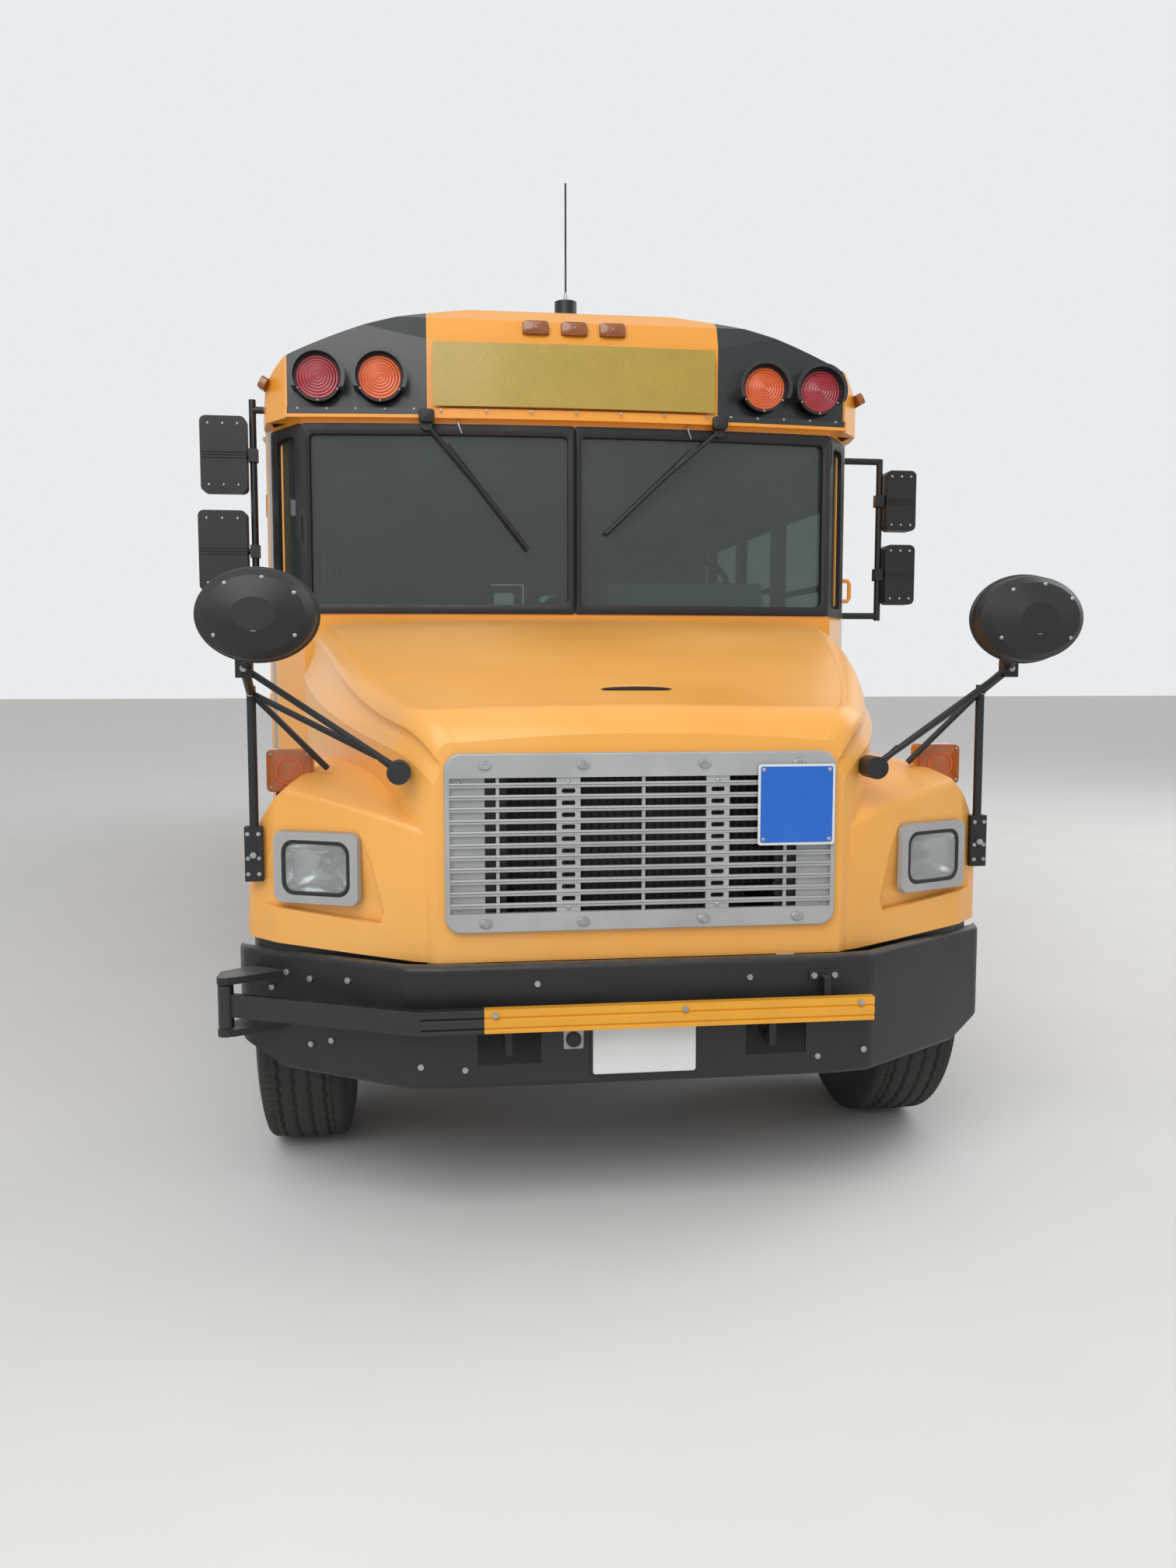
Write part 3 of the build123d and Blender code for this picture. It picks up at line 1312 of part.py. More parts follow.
with BuildPart() as crossview:
    for side in (-1, 1):
        x0, x1, s0, s1, z0, z1 = foot_plate
        block(side * x0, side * x1, s0, s1, z0, z1)
        round_bar((side * post_x, post_station, post_foot), (side * post_x, post_station, post_top),
                  post_radius)
        corner = (side * post_x, post_station, post_top - 20)
        ball = (side * ball_point[0], ball_point[1], ball_point[2])
        clamp = (side * clamp_point[0], clamp_point[1], clamp_point[2])
        disc = (side * disc_point[0], disc_point[1], disc_point[2])
        round_bar(corner, clamp, post_radius)
        round_bar(clamp, ball, post_radius)
        round_bar((disc[0], disc[1] + 80, disc[2]), disc, disc_radius)
        round_bar((disc[0], disc[1] + 10, disc[2] + 10), clamp, tube_radius)
        round_bar((disc[0] + side * 60, disc[1] + 30, disc[2] + 45), corner, tube_radius)
        round_bar((disc[0], disc[1] + 15, disc[2]), (disc[0] + side * 70, disc[1] + 32, disc[2] + 56),
                  tube_radius)
        round_bar((side * 880, 330, fender_top - 20), corner, tube_radius)
        with Locations((clamp[0], at(clamp[1]), clamp[2])):
            Box(44, 34, 50)
        with Locations((ball[0], at(ball[1]), ball[2])):
            Sphere(24)
        round_bar(ball, (side * head_x, head_station + 20, head_z - 20), post_radius)
        for (ahead, share), (ahead2, share2) in zip(dome_rows, dome_rows[1:]):
            with BuildSketch(section(head_station + ahead)):
                with Locations((side * head_x, head_z)):
                    Ellipse(share * head_width, share * head_height)
            with BuildSketch(section(head_station + ahead2)):
                with Locations((side * head_x, head_z)):
                    Ellipse(share2 * head_width, share2 * head_height)
            loft()
        with BuildSketch(section(head_station - 1)):
            with Locations((side * head_x, head_z)):
                Ellipse(head_width, head_height)
        extrude(amount=-26)
    add(volumes[0], mode=Mode.SUBTRACT)
write(crossview.part, "crossview_mirrors")

# Crossing gate, folded along the bumper, and the stop arm, folded along the driver's side
gate_station = -60
gate_half_depth = 14
gate_bottom = 590
gate_top = 656
gate_tip = 640
gate_root = -620

with BuildPart() as gate:
    round_bar((gate_hinge_x, gate_hinge_station, gate_low), (gate_hinge_x, gate_hinge_station, gate_high), 22)
    with BuildSketch(Plane.XY.offset(gate_bottom)):
        with BuildLine():
            Polyline((gate_hinge_x - 14, at(gate_hinge_station)),
                     (gate_hinge_x + 14, at(gate_hinge_station + 5)),
                     (gate_root, at(gate_station + gate_half_depth)),
                     (gate_tip, at(gate_station + gate_half_depth)),
                     (gate_tip, at(gate_station - gate_half_depth)),
                     (gate_root - 10, at(gate_station - gate_half_depth)), close=True)
        make_face()
    extrude(amount=gate_top - gate_bottom)
    for z in (gate_bottom + 0.62 * (gate_top - gate_bottom), gate_bottom + 0.18 * (gate_top - gate_bottom)):
        with BuildSketch(side_plane(gate_root)):
            with BuildLine():
                face = at(gate_station - gate_half_depth)
                Polyline((face - 1, z - 6), (face + 5, z), (face - 1, z + 6), close=True)
            make_face()
        extrude(amount=gate_tip - gate_root, mode=Mode.SUBTRACT)
write(gate.part, "crossing_gate")

with BuildPart() as stop_arm:
    round_bar((stop_hinge_x, stop_hinge_station, stop_z - stop_pin_half),
              (stop_hinge_x, stop_hinge_station, stop_z + stop_pin_half), 14)
    block(stop_hinge_x - 5, stop_hinge_x + 5, stop_hinge_station, stop_hinge_station + 80, stop_z - 100,
          stop_z + 100)
    with BuildSketch(side_plane(stop_hinge_x - 5)):
        with Locations((at(stop_hinge_station + 50 + stop_size / 2), stop_z)):
            RegularPolygon(stop_size / 2, 8, major_radius=False, rotation=22.5)
    extrude(amount=10)
write(stop_arm.part, "stop_arm")

with BuildPart() as stop_base:
    for side in (-1, 1):
        block(body_half, stop_hinge_x + 16, stop_hinge_station - 30, stop_hinge_station + 20,
              stop_z + side * (stop_pin_half + door_gap), stop_z + side * stop_base_half)
    block(body_half, body_half + 30, stop_hinge_station - 60, stop_hinge_station + 30,
          stop_z - stop_base_half,
          stop_z + stop_base_half)
write(stop_base.part, "stop_arm_base")

# Doors: two entry leaves, the rear emergency door and the lift door, each with its glass
leaf_depth = 35
hinge_radius = 8
strap_reach = 45         # of a hinge's strap across its leaf
knuckle_half = 45
hinge_in = 150           # of the outer hinges from a door's top and bottom
entry_hinge_x = -body_half - 10
lift_hinge_x = -body_half - 12
entry_leaf = (door_width - 3 * door_gap) / 2
leaf_x = -body_half
door_rows = [            # name, glass name, first station, width, bottom, top
    ("entry_door_front", "entry_glass_front", door_front + door_gap, entry_leaf, door_bottom,
     door_top - door_gap),
    ("entry_door_rear", "entry_glass_rear", door_front + 2 * door_gap + entry_leaf, entry_leaf, door_bottom,
     door_top - door_gap),
    ("lift_door", "lift_door_glass", lift_front + door_gap, lift_width - 2 * door_gap, lift_bottom + door_gap,
     lift_top - door_gap)]

for name, glass_name, start, width, bottom, top in door_rows:
    lift = name == "lift_door"
    border = 250 if lift else 60
    lift_pane = (window_sill + 20, window_sill + window_height - 20)
    panes = [lift_pane] if lift else [(560, 1390), (1450, top - 60)]
    far = name == "entry_door_rear"
    hinge_s = start + width + door_gap / 2 if far else start - door_gap / 2
    hinge_x = lift_hinge_x if lift else entry_hinge_x
    strap_end = hinge_s - strap_reach if far else hinge_s + strap_reach
    with BuildPart() as leaf:
        block(leaf_x, leaf_x + leaf_depth, start, start + width, bottom, top)
        for z in (bottom + hinge_in, (bottom + top) / 2, top - hinge_in):
            round_bar((hinge_x, hinge_s, z - knuckle_half), (hinge_x, hinge_s, z + knuckle_half),
                      hinge_radius)
            block(hinge_x + hinge_radius / 2, leaf_x, hinge_s, strap_end, z - knuckle_half, z + knuckle_half)
        for low, high in panes:
            block(leaf_x - 5, leaf_x + leaf_depth + 5, start + border, start + width - border, low, high,
                  Mode.SUBTRACT)
    write(leaf.part, name)
    with BuildPart() as leaf_glass:
        for low, high in panes:
            block(leaf_x + 14, leaf_x + 14 + pane, start + border, start + width - border, low, high)
    write(leaf_glass.part, glass_name)

rear_panes = [(1130, 1540), (1640, 2320)]
rear_hinge_x = -rear_door_half + 3
rear_hinge_stand = 12
handle_z = 1588
rear_border = 90

with BuildPart() as rear_door:
    block(-rear_door_half + door_gap, rear_door_half - door_gap, rear_face - leaf_depth, rear_face,
          rear_door_bottom + door_gap, rear_door_top - door_gap)
    for z in (rear_door_bottom + hinge_in, (rear_door_bottom + rear_door_top) / 2, rear_door_top - hinge_in):
        round_bar((rear_hinge_x, rear_face + rear_hinge_stand, z - knuckle_half),
                  (rear_hinge_x, rear_face + rear_hinge_stand, z + knuckle_half), hinge_radius)
        block(rear_hinge_x, rear_hinge_x + strap_reach, rear_face, rear_face + rear_hinge_stand - 4,
              z - knuckle_half, z + knuckle_half)
    block(rear_door_half - 110, rear_door_half - 60, rear_face, rear_face + 30, handle_z - 28, handle_z + 28)
    block(rear_door_half - 250, rear_door_half - 60, rear_face + 30, rear_face + 46, handle_z - 14,
          handle_z + 14)
    for low, high in rear_panes:
        block(-rear_door_half + rear_border, rear_door_half - rear_border, rear_face - leaf_depth - 5,
              rear_face + 5, low, high, Mode.SUBTRACT)
write(rear_door.part, "rear_door")

with BuildPart() as rear_glass:
    for low, high in rear_panes:
        block(-rear_door_half + rear_border, rear_door_half - rear_border, rear_face - 20,
              rear_face - 20 + pane,
              low, high)
write(rear_glass.part, "rear_door_glass")

# Knuckles, tie rod and wheels
yoke_gap = 6
yoke_plate = 40
web_near = 52
web_far = 85
spindle_radius = 32
spindle_clearance = 2
arm_back = 180
tie_z = 392
tie_radius = 13
tie_eye_half = 17
tie_eye_radius = 26
ball_radius = 10

for side, name in ((1, "knuckle_left"), (-1, "knuckle_right")):
    with BuildPart() as knuckle:
        top = beam_over + yoke_gap
        bottom = beam_under - yoke_gap
        for low in (top, bottom - yoke_plate):
            round_bar((side * kingpin_x, front_axle, low), (side * kingpin_x, front_axle, low + yoke_plate),
                      boss_radius)
            block(side * kingpin_x, side * (kingpin_x + web_far), front_axle - 40, front_axle + 40,
                  low, low + yoke_plate)
        round_bar((side * kingpin_x, front_axle, bottom - yoke_plate),
                  (side * kingpin_x, front_axle, top + 5),
                  kingpin_radius)
        block(side * (kingpin_x + web_near), side * (kingpin_x + web_far), front_axle - 40, front_axle + 40,
              bottom - yoke_plate, top + yoke_plate)
        round_bar((side * (kingpin_x + web_far - 5), front_axle, tyre_radius),
                  (side * (front_track_half + 110), front_axle, tyre_radius), spindle_radius)
        with BuildSketch(Plane.XY.offset(bottom - yoke_plate)):
            with BuildLine():
                Polyline((side * (kingpin_x - 38), at(front_axle)), (side * (kingpin_x + 38), at(front_axle)),
                         (side * (kingpin_x + 24), at(front_axle + arm_back)),
                         (side * (kingpin_x - 24), at(front_axle + arm_back)), close=True)
            make_face()
            with Locations((side * kingpin_x, at(front_axle + arm_back))):
                Circle(24)
        extrude(amount=25)
        round_bar((side * kingpin_x, front_axle + arm_back, tie_z - 22),
                  (side * kingpin_x, front_axle + arm_back, bottom - yoke_plate + 5), ball_radius)
    write(knuckle.part, name)

with BuildPart() as tie_rod:
    reach = kingpin_x
    round_bar((-reach, front_axle + arm_back, tie_z), (reach, front_axle + arm_back, tie_z), tie_radius)
    for side in (-1, 1):
        round_bar((side * reach, front_axle + arm_back, tie_z - tie_eye_half),
                  (side * reach, front_axle + arm_back, tie_z + tie_eye_half), tie_eye_radius)
        round_bar((side * reach, front_axle + arm_back, tie_z - tie_eye_half - 5),
                  (side * reach, front_axle + arm_back, tie_z + tie_eye_half + 5), ball_radius + 2,
                  Mode.SUBTRACT)
write(tie_rod.part, "tie_rod")

half = tyre_width / 2
rim_half = half - 22
tyre_sides = 48          # flats round a tyre, one of them on the ground
flat_turn = 180 / tyre_sides
bead_height = 70         # a tyre's side slants inwards below this height above the rim
bead_inward = tyre_radius - rim_radius - bead_height
tyre_rows = [            # X from the tyre's middle, and how far the flats stand in from the tread
    (-half, bead_inward), (-half + 6, 45), (-half + 34, 6), (0, 0), (half - 34, 6), (half - 6, 45),
    (half, bead_inward)]
hand_hole = 26
hand_hole_pitch = 212
hand_hole_count = 8
rim_plate = 22
disc_half = 14
stud_reach = 46
stud_radius = 12
stud_pitch = 143
stud_count = 10
hub_radius = 105
front_disc = [(8, rim_radius - rim_plate + 1), (46, 178), (46, 20), (60, 20), (60, 183),
              (22, rim_radius - rim_plate + 1)]


with BuildPart() as tyre:
    for across, inward in tyre_rows:
        with BuildSketch(Plane.YZ.offset(across)):
            RegularPolygon(tyre_radius - inward, tyre_sides, major_radius=False, rotation=flat_turn)
    loft(ruled=True)
    with BuildSketch(Plane.YZ.offset(-half - 1)):
        RegularPolygon(rim_radius, tyre_sides, major_radius=False, rotation=flat_turn)
    extrude(amount=2 * half + 2, mode=Mode.SUBTRACT)
    for out in (-1, 1):
        for across, apothem in ((half, rim_radius + bead_height), (rim_half, rim_radius)):
            with BuildSketch(Plane.YZ.offset(out * across)):
                RegularPolygon(apothem, tyre_sides, major_radius=False, rotation=flat_turn)
        loft(ruled=True, mode=Mode.SUBTRACT)

wheel_rows = [           # name, station, tyre centres, which way the dish faces
    ("left", front_axle, [front_track_half], 1, "front"),
    ("right", front_axle, [-front_track_half], -1, "front"),
    ("left", rear_axle, [dual_inner_x, dual_outer_x], 1, "rear"),
    ("right", rear_axle, [-dual_inner_x, -dual_outer_x], -1, "rear")]

for side_name, station, centres, side, end in wheel_rows:
    plural = "s" if end == "rear" else ""
    with BuildPart() as tyres:
        with Locations(*[(x, at(station), tyre_radius) for x in centres]):
            add(tyre.part)
    write(tyres.part, f"{end}_tyre{plural}_{side_name}")
    with BuildPart() as rims:
        bore = (spindle_radius if end == "front" else rear_spindle) + spindle_clearance
        for x in centres:
            with BuildSketch(Plane(origin=(x, at(station), tyre_radius), x_dir=(1, 0, 0), z_dir=(0, -1, 0))):
                with BuildLine():
                    Polyline((-rim_half, rim_radius), (rim_half, rim_radius),
                             (rim_half, rim_radius - rim_plate),
                             (-rim_half, rim_radius - rim_plate), close=True)
                make_face()
            revolve(axis=Axis((x, at(station), tyre_radius), (1, 0, 0)))
        if end == "front":
            with BuildSketch(Plane(origin=(side * front_track_half, at(station), tyre_radius),
                                   x_dir=(side, 0, 0),
                                   z_dir=(0, -side, 0))):
                with BuildLine():
                    Polyline(*front_disc, close=True)
                make_face()
            revolve(axis=Axis((side * front_track_half, at(station), tyre_radius), (1, 0, 0)))
            hub0, hub1 = front_track_half - 20, front_track_half + 125
            face, stud_end = front_track_half + 40, front_track_half + 40 + stud_reach
        else:
            hub0, hub1 = 690, 1060
            middle = (dual_inner_x + dual_outer_x) / 2
            ring = (side * (dual_inner_x + rim_half - 20), side * (dual_outer_x - rim_half + 20))
            for radius, mode in ((rim_radius - 5, Mode.ADD), (rim_radius - rim_plate, Mode.SUBTRACT)):
                round_bar((ring[0], station, tyre_radius), (ring[1], station, tyre_radius), radius, mode)
            face, stud_end = middle + disc_half, middle + stud_reach
            round_bar((side * (middle - disc_half), station, tyre_radius),
                      (side * face, station, tyre_radius),
                      rim_radius - rim_plate / 2)
        with Locations(Plane(origin=(side * face, at(station), tyre_radius), z_dir=(side, 0, 0))):
            with PolarLocations(stud_pitch, stud_count):
                Cylinder(stud_radius, stud_end - face, align=(Align.CENTER, Align.CENTER, Align.MIN))
            with PolarLocations(hand_hole_pitch, hand_hole_count):
                Cylinder(hand_hole, 120, mode=Mode.SUBTRACT)
        round_bar((side * hub0, station, tyre_radius), (side * hub1, station, tyre_radius), hub_radius)
        round_bar((side * (hub0 - 300), station, tyre_radius), (side * (hub1 - 12), station, tyre_radius),
                  bore,
                  Mode.SUBTRACT)
    write(rims.part, f"{end}_rim{plural}_{side_name}")
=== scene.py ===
"""Finish and small parts of a conventional school bus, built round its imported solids.

Metres, in the solids' own frame: +X towards the driver's side, +Y towards the rear, +Z up, the ground
at Z 0. Y is worked out from the station, the distance behind the front bumper's face.
"""

import bmesh
import bpy
import mathutils
import numpy as np
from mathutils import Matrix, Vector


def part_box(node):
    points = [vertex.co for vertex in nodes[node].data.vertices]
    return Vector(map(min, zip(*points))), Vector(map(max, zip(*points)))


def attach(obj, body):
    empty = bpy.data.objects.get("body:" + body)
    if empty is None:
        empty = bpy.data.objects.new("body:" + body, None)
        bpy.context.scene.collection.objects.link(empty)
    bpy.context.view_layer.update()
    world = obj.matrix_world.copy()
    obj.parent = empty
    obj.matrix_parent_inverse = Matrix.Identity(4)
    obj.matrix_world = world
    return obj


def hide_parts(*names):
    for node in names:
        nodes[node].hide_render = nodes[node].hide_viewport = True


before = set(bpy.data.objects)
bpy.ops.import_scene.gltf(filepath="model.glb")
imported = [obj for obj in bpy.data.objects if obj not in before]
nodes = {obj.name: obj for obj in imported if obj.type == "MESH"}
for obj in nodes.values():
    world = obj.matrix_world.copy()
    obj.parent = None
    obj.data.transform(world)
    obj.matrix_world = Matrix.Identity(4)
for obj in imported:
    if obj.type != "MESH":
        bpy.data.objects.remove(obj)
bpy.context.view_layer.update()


def low(node):
    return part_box(node)[0]


def high(node):
    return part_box(node)[1]


def at(station):
    """Y of a station, the distance behind the front bumper's face."""
    return FACE_Y + station


FACE_Y = low("front_bumper").y
REAR_WALL = 9.399                               # station of the rear wall's outer face
SIDE_X, TRIM_X = high("left_side").x, 1.219     # the sides' outer face, and the one that door trim sits on
UP, FRONT, REAR, LEFT = (0, 0, 1), (0, -1, 0), (0, 1, 0), (1, 0, 0)
SIDES = (-1, 1)


# Meshes: a mesh is its points and a list of face arrays, each array holding faces of one number of sides


def grid(points, around=False, along=False):
    """Quads over a two-parameter array of points; around closes the second parameter, along the first."""
    rows, columns = points.shape[:2]
    i = np.arange(rows if along else rows - 1)[:, None]
    j = np.arange(columns if around else columns - 1)[None, :]
    i2, j2 = (i + 1) % rows, (j + 1) % columns
    quads = np.stack([i * columns + j, i2 * columns + j, i2 * columns + j2, i * columns + j2], axis=-1)
    return points.reshape(-1, 3), [quads.reshape(-1, 4)]


def looped(rings):
    """Quads over rings of points, closed both ways round."""
    return grid(np.array(rings), around=True, along=True)


def capped(points):
    """A tube of rings, closed by one many-sided face at each end."""
    rows, columns = points.shape[:2]
    verts, faces = grid(points, around=True)
    first = np.arange(columns)[None, :]
    return verts, faces + [first, first[:, ::-1] + (rows - 1) * columns]


def joined(*meshes):
    """One mesh of several: points one after another, and face numbers moved on by the points before."""
    verts, faces, count = [], [], 0
    for v, f in meshes:
        verts.append(v)
        faces += [a + count for a in f]
        count += len(v)
    return np.concatenate(verts), faces


def repeated(mesh, origins, x_axes=LEFT, z_axes=UP):
    """Copies of a small mesh: each point p goes to origin + x p.x + y p.y + z p.z, with y = z cross x."""
    verts, faces = mesh
    origins = np.asarray(origins, float).reshape(-1, 3)
    n = len(origins)
    x, z = (np.broadcast_to(np.array(axes, float), (n, 3)) for axes in (x_axes, z_axes))
    z = z / np.linalg.norm(z, axis=1, keepdims=True)
    x = x - z * (x * z).sum(1, keepdims=True)
    x = x / np.linalg.norm(x, axis=1, keepdims=True)
    axes = np.stack([x, np.cross(z, x), z], axis=1)
    moved = np.einsum("pk,nkc->npc", verts, axes) + origins[:, None, :]
    step = np.arange(n)[:, None, None] * len(verts)
    return moved.reshape(-1, 3), [(a[None] + step).reshape(-1, a.shape[1]) for a in faces]


def put(mesh, spots, facing=FRONT, x_axis=LEFT):
    """Copies at X, station and Z of spots, facing one way."""
    return repeated(mesh, np.array(spots, float).reshape(-1, 3) + (0, FACE_Y, 0), x_axis, facing)


def beside(mesh, spots, side):
    """Copies that lie on a side of the bus and face outwards: side is 1 for the driver's, or -1."""
    return put(mesh, spots, (side, 0, 0), REAR)


def mirrored(spots):
    """Spots and their mirror images on the other side of the bus."""
    spots = np.array(spots, float).reshape(-1, 3)
    return np.concatenate([spots * (-1, 1, 1), spots])


def scaled(outline, rows):
    """Rings from an outline: each row scales it by a share and lifts it to a height."""
    outline = np.array(outline, float)
    return np.array([np.column_stack([share * outline, np.full(len(outline), h)]) for share, h in rows])


def crowned(outline, rows):
    """An outline scaled and lifted row by row, with a flat face over the first row and over the last."""
    return capped(scaled(outline, rows))


def slab(outline, depth):
    """An outline in X and Y given a thickness along Z, from 0 to depth."""
    return crowned(outline, ((1, 0), (1, depth)))


def plate(width, height, corner, depth):
    """A round-cornered rectangle given a thickness along Z, from 0 to depth."""
    return slab(rounded(width, height, corner), depth)


def band(outer, inner, depth, foot=0):
    """A ring-shaped plate between two outlines, from Z 0 to depth; its inner edge goes down to foot."""
    return looped([np.column_stack([o, np.full(len(o), h)]) for o, h in
                   ((outer, 0), (outer, depth), (inner, depth), (inner, foot))])


def collar(width, height, reach, corners, depth, along=10, foot=0):
    """A band round a rectangle of a size, reaching out past it, with an inner and an outer corner radius."""
    inner, outer = (outline_at(-w / 2, w / 2, -h / 2, h / 2, corner, along) for w, h, corner in (
        (width, height, corners[0]), (width + 2 * reach[0], height + 2 * reach[1], corners[1])))
    return band(outer, inner, depth, foot)


def lathe(profile, sides=32):
    """Rows of radius and height turned about Z: (r cos a, r sin a, h), a going once round."""
    return crowned(ellipse(1, 1, sides), profile)


def ellipse(a, b, sides=32):
    """Outline (a cos t, b sin t), t once round."""
    t = np.linspace(0, 2 * np.pi, sides, endpoint=False)
    return np.column_stack([a * np.cos(t), b * np.sin(t)])


def tube(path, radius, sides=12):
    """A round bar along a path: each point plus radius times (cos a N + sin a B), N and B across the path."""
    path = np.array(path, float)
    along = np.gradient(path, axis=0)
    along /= np.linalg.norm(along, axis=1, keepdims=True)
    spread = np.ptp(path, axis=0) if len(path) > 2 else np.abs(along[0])
    side = np.eye(3)[int(np.argmin(spread))]
    across = np.cross(along, side)
    across /= np.linalg.norm(across, axis=1, keepdims=True)
    up = np.cross(across, along)
    a = np.linspace(0, 2 * np.pi, sides, endpoint=False)[None, :, None]
    radius = np.broadcast_to(radius, len(path))[:, None, None]
    return capped(path[:, None] + radius * (np.cos(a) * across[:, None] + np.sin(a) * up[:, None]))


def rounded(width, height, radius, steps=6):
    """Outline of a rectangle with round corners, four quarter circles of the radius."""
    a = np.linspace(0, np.pi / 2, steps)
    corners = []
    for k, (sx, sy) in enumerate([(1, 1), (-1, 1), (-1, -1), (1, -1)]):
        turn = a + k * np.pi / 2
        middle = np.array([sx * (width / 2 - radius), sy * (height / 2 - radius)])
        corners.append(middle + radius * np.stack([np.cos(turn), np.sin(turn)], axis=-1))
    return np.concatenate(corners)


def outline_at(x0, x1, y0, y1, radius, along=10):
    """Round-cornered rectangle between two X and two Y, its straight sides cut into short pieces."""
    corners = rounded(x1 - x0, y1 - y0, radius).reshape(4, -1, 2)
    parts = []
    for k in range(4):
        start, end = corners[k][-1], corners[(k + 1) % 4][0]
        share = np.linspace(0, 1, along + 1)[1:-1, None]
        parts += [corners[k], start + share * (end - start)]
    return np.concatenate(parts) + np.array([(x0 + x1) / 2, (y0 + y1) / 2])


def pillow(width, height, corner, depth, crown=0.3):
    """A lens or cap: round-cornered sides up to most of the depth, then a crown that closes inwards."""
    start = (1 - crown) * depth
    a = np.linspace(0, 0.5 * np.pi, 6)[1:]
    rows = [(0.90 + 0.10 * np.cos(t), start + 0.6 * crown * depth * np.sin(t)) for t in a]
    return crowned(rounded(width, height, corner),
                   [(1.0, 0.0), (1.0, start), *rows, (0.5, depth * 0.97), (0.1, depth)])


def bolt(radius, height):
    """Hexagon head: a prism of six sides with its top edge cut back."""
    return lathe([(radius, 0), (radius, 0.75 * height), (0.85 * radius, height)], sides=6)


def rivet(radius, height):
    """Domed head: (radius cos a, height sin a), a from the rim to just short of the top."""
    a = np.linspace(0, 0.48 * np.pi, 6)
    return lathe(np.column_stack([radius * np.cos(a), height * np.sin(a)]), sides=14)


def ripple_lens(radius, depth):
    """A round lens: depth (1 - r squared) plus ripples 11 mm apart, turned about its middle."""
    r = np.linspace(1, 0.01, 60)
    height = 0.010 + depth * (1 - r ** 2) + 0.0012 * np.cos(2 * np.pi * r * radius / 0.011) * (r < 0.96)
    return lathe([(radius, 0.0), *np.column_stack([r * radius, height]).tolist()], sides=48)


def make(name, mesh, material, body="bus_body", slot=None, bevel=0.0, angle=35, replaces=None):
    """An object from a mesh: doubles merged, faces turned outwards, smooth up to an angle, riding on a body."""
    verts, faces = mesh
    data = bpy.data.meshes.new(name)
    data.from_pydata(verts.tolist(), [], [row for a in faces for row in a.tolist()])
    bm = bmesh.new()
    bm.from_mesh(data)
    bmesh.ops.remove_doubles(bm, verts=bm.verts, dist=1e-6)
    bmesh.ops.recalc_face_normals(bm, faces=bm.faces)
    bm.to_mesh(data)
    bm.free()
    piece = bpy.data.objects.new(name, data)
    bpy.context.scene.collection.objects.link(piece)
    data.shade_smooth()
    data.set_sharp_from_angle(angle=np.radians(angle))
    data.materials.append(material)
    if bevel:
        modifier = piece.modifiers.new("edges", "BEVEL")
        modifier.width = bevel
        modifier.segments = 2
        modifier.limit_method = "ANGLE"
    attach(piece, body)
    if replaces:
        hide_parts(replaces)
    return piece


def fit(name, form, spots, material=None, body="bus_body", facing=FRONT, **details):
    """A piece of copies of one form, zinc-plated unless another material is named."""
    return make(name, put(form, spots, facing), material or zinc, body, **details)


# Materials


def linear(hex_colour):
    """Linear RGBA of an sRGB hex colour."""
    values = np.array([int(hex_colour[k:k + 2], 16) / 255 for k in (1, 3, 5)])
    values = np.where(values <= 0.04045, values / 12.92, ((values + 0.055) / 1.055) ** 2.4)
    return (*values.tolist(), 1.0)


def add(tree, kind, output, inputs=None, **settings):
    """Adds a node and gives one of its outputs: settings are its properties, and inputs are values, or sockets
    to link from."""
    node = tree.nodes.new(kind)
    for key, value in settings.items():
        setattr(node, key, value)
    for key, value in (inputs or {}).items():
        if isinstance(value, bpy.types.NodeSocket):
            tree.links.new(value, node.inputs[key])
        else:
            node.inputs[key].default_value = linear(value) if isinstance(value, str) else value
    return node.outputs[output] if output is not None else node


def every(tree, *tests):
    """1 where all tests hold and 0 elsewhere: each test is a socket, a comparison and a value."""
    result = None
    for socket, comparison, value in tests:
        passed = add(tree, "ShaderNodeMath", 0, {0: socket, 1: value}, operation=comparison)
        result = passed if result is None else add(tree, "ShaderNodeMath", 0, {0: result, 1: passed},
                                                   operation="MULTIPLY")
    return result


def finish(name, **constants):
    """A new material with its node tree and its shader, whose unlinked sockets are set directly."""
    material = bpy.data.materials.new(name)
    material.use_nodes = True
    tree = material.node_tree
    shader = tree.nodes["Principled BSDF"]
    for key, value in constants.items():
        shader.inputs[key.replace("_", " ")].default_value = value
    return material, tree, shader


def wire(tree, shader, colour, height, distance, strength, rough=None):
    """Links a colour, a height as bump, and a roughness to the shader."""
    tree.links.new(colour, shader.inputs["Base Color"])
    relief = add(tree, "ShaderNodeBump", "Normal", {"Height": height, "Distance": distance, "Strength": strength})
    tree.links.new(relief, shader.inputs["Normal"])
    if rough is not None:
        tree.links.new(rough, shader.inputs["Roughness"])


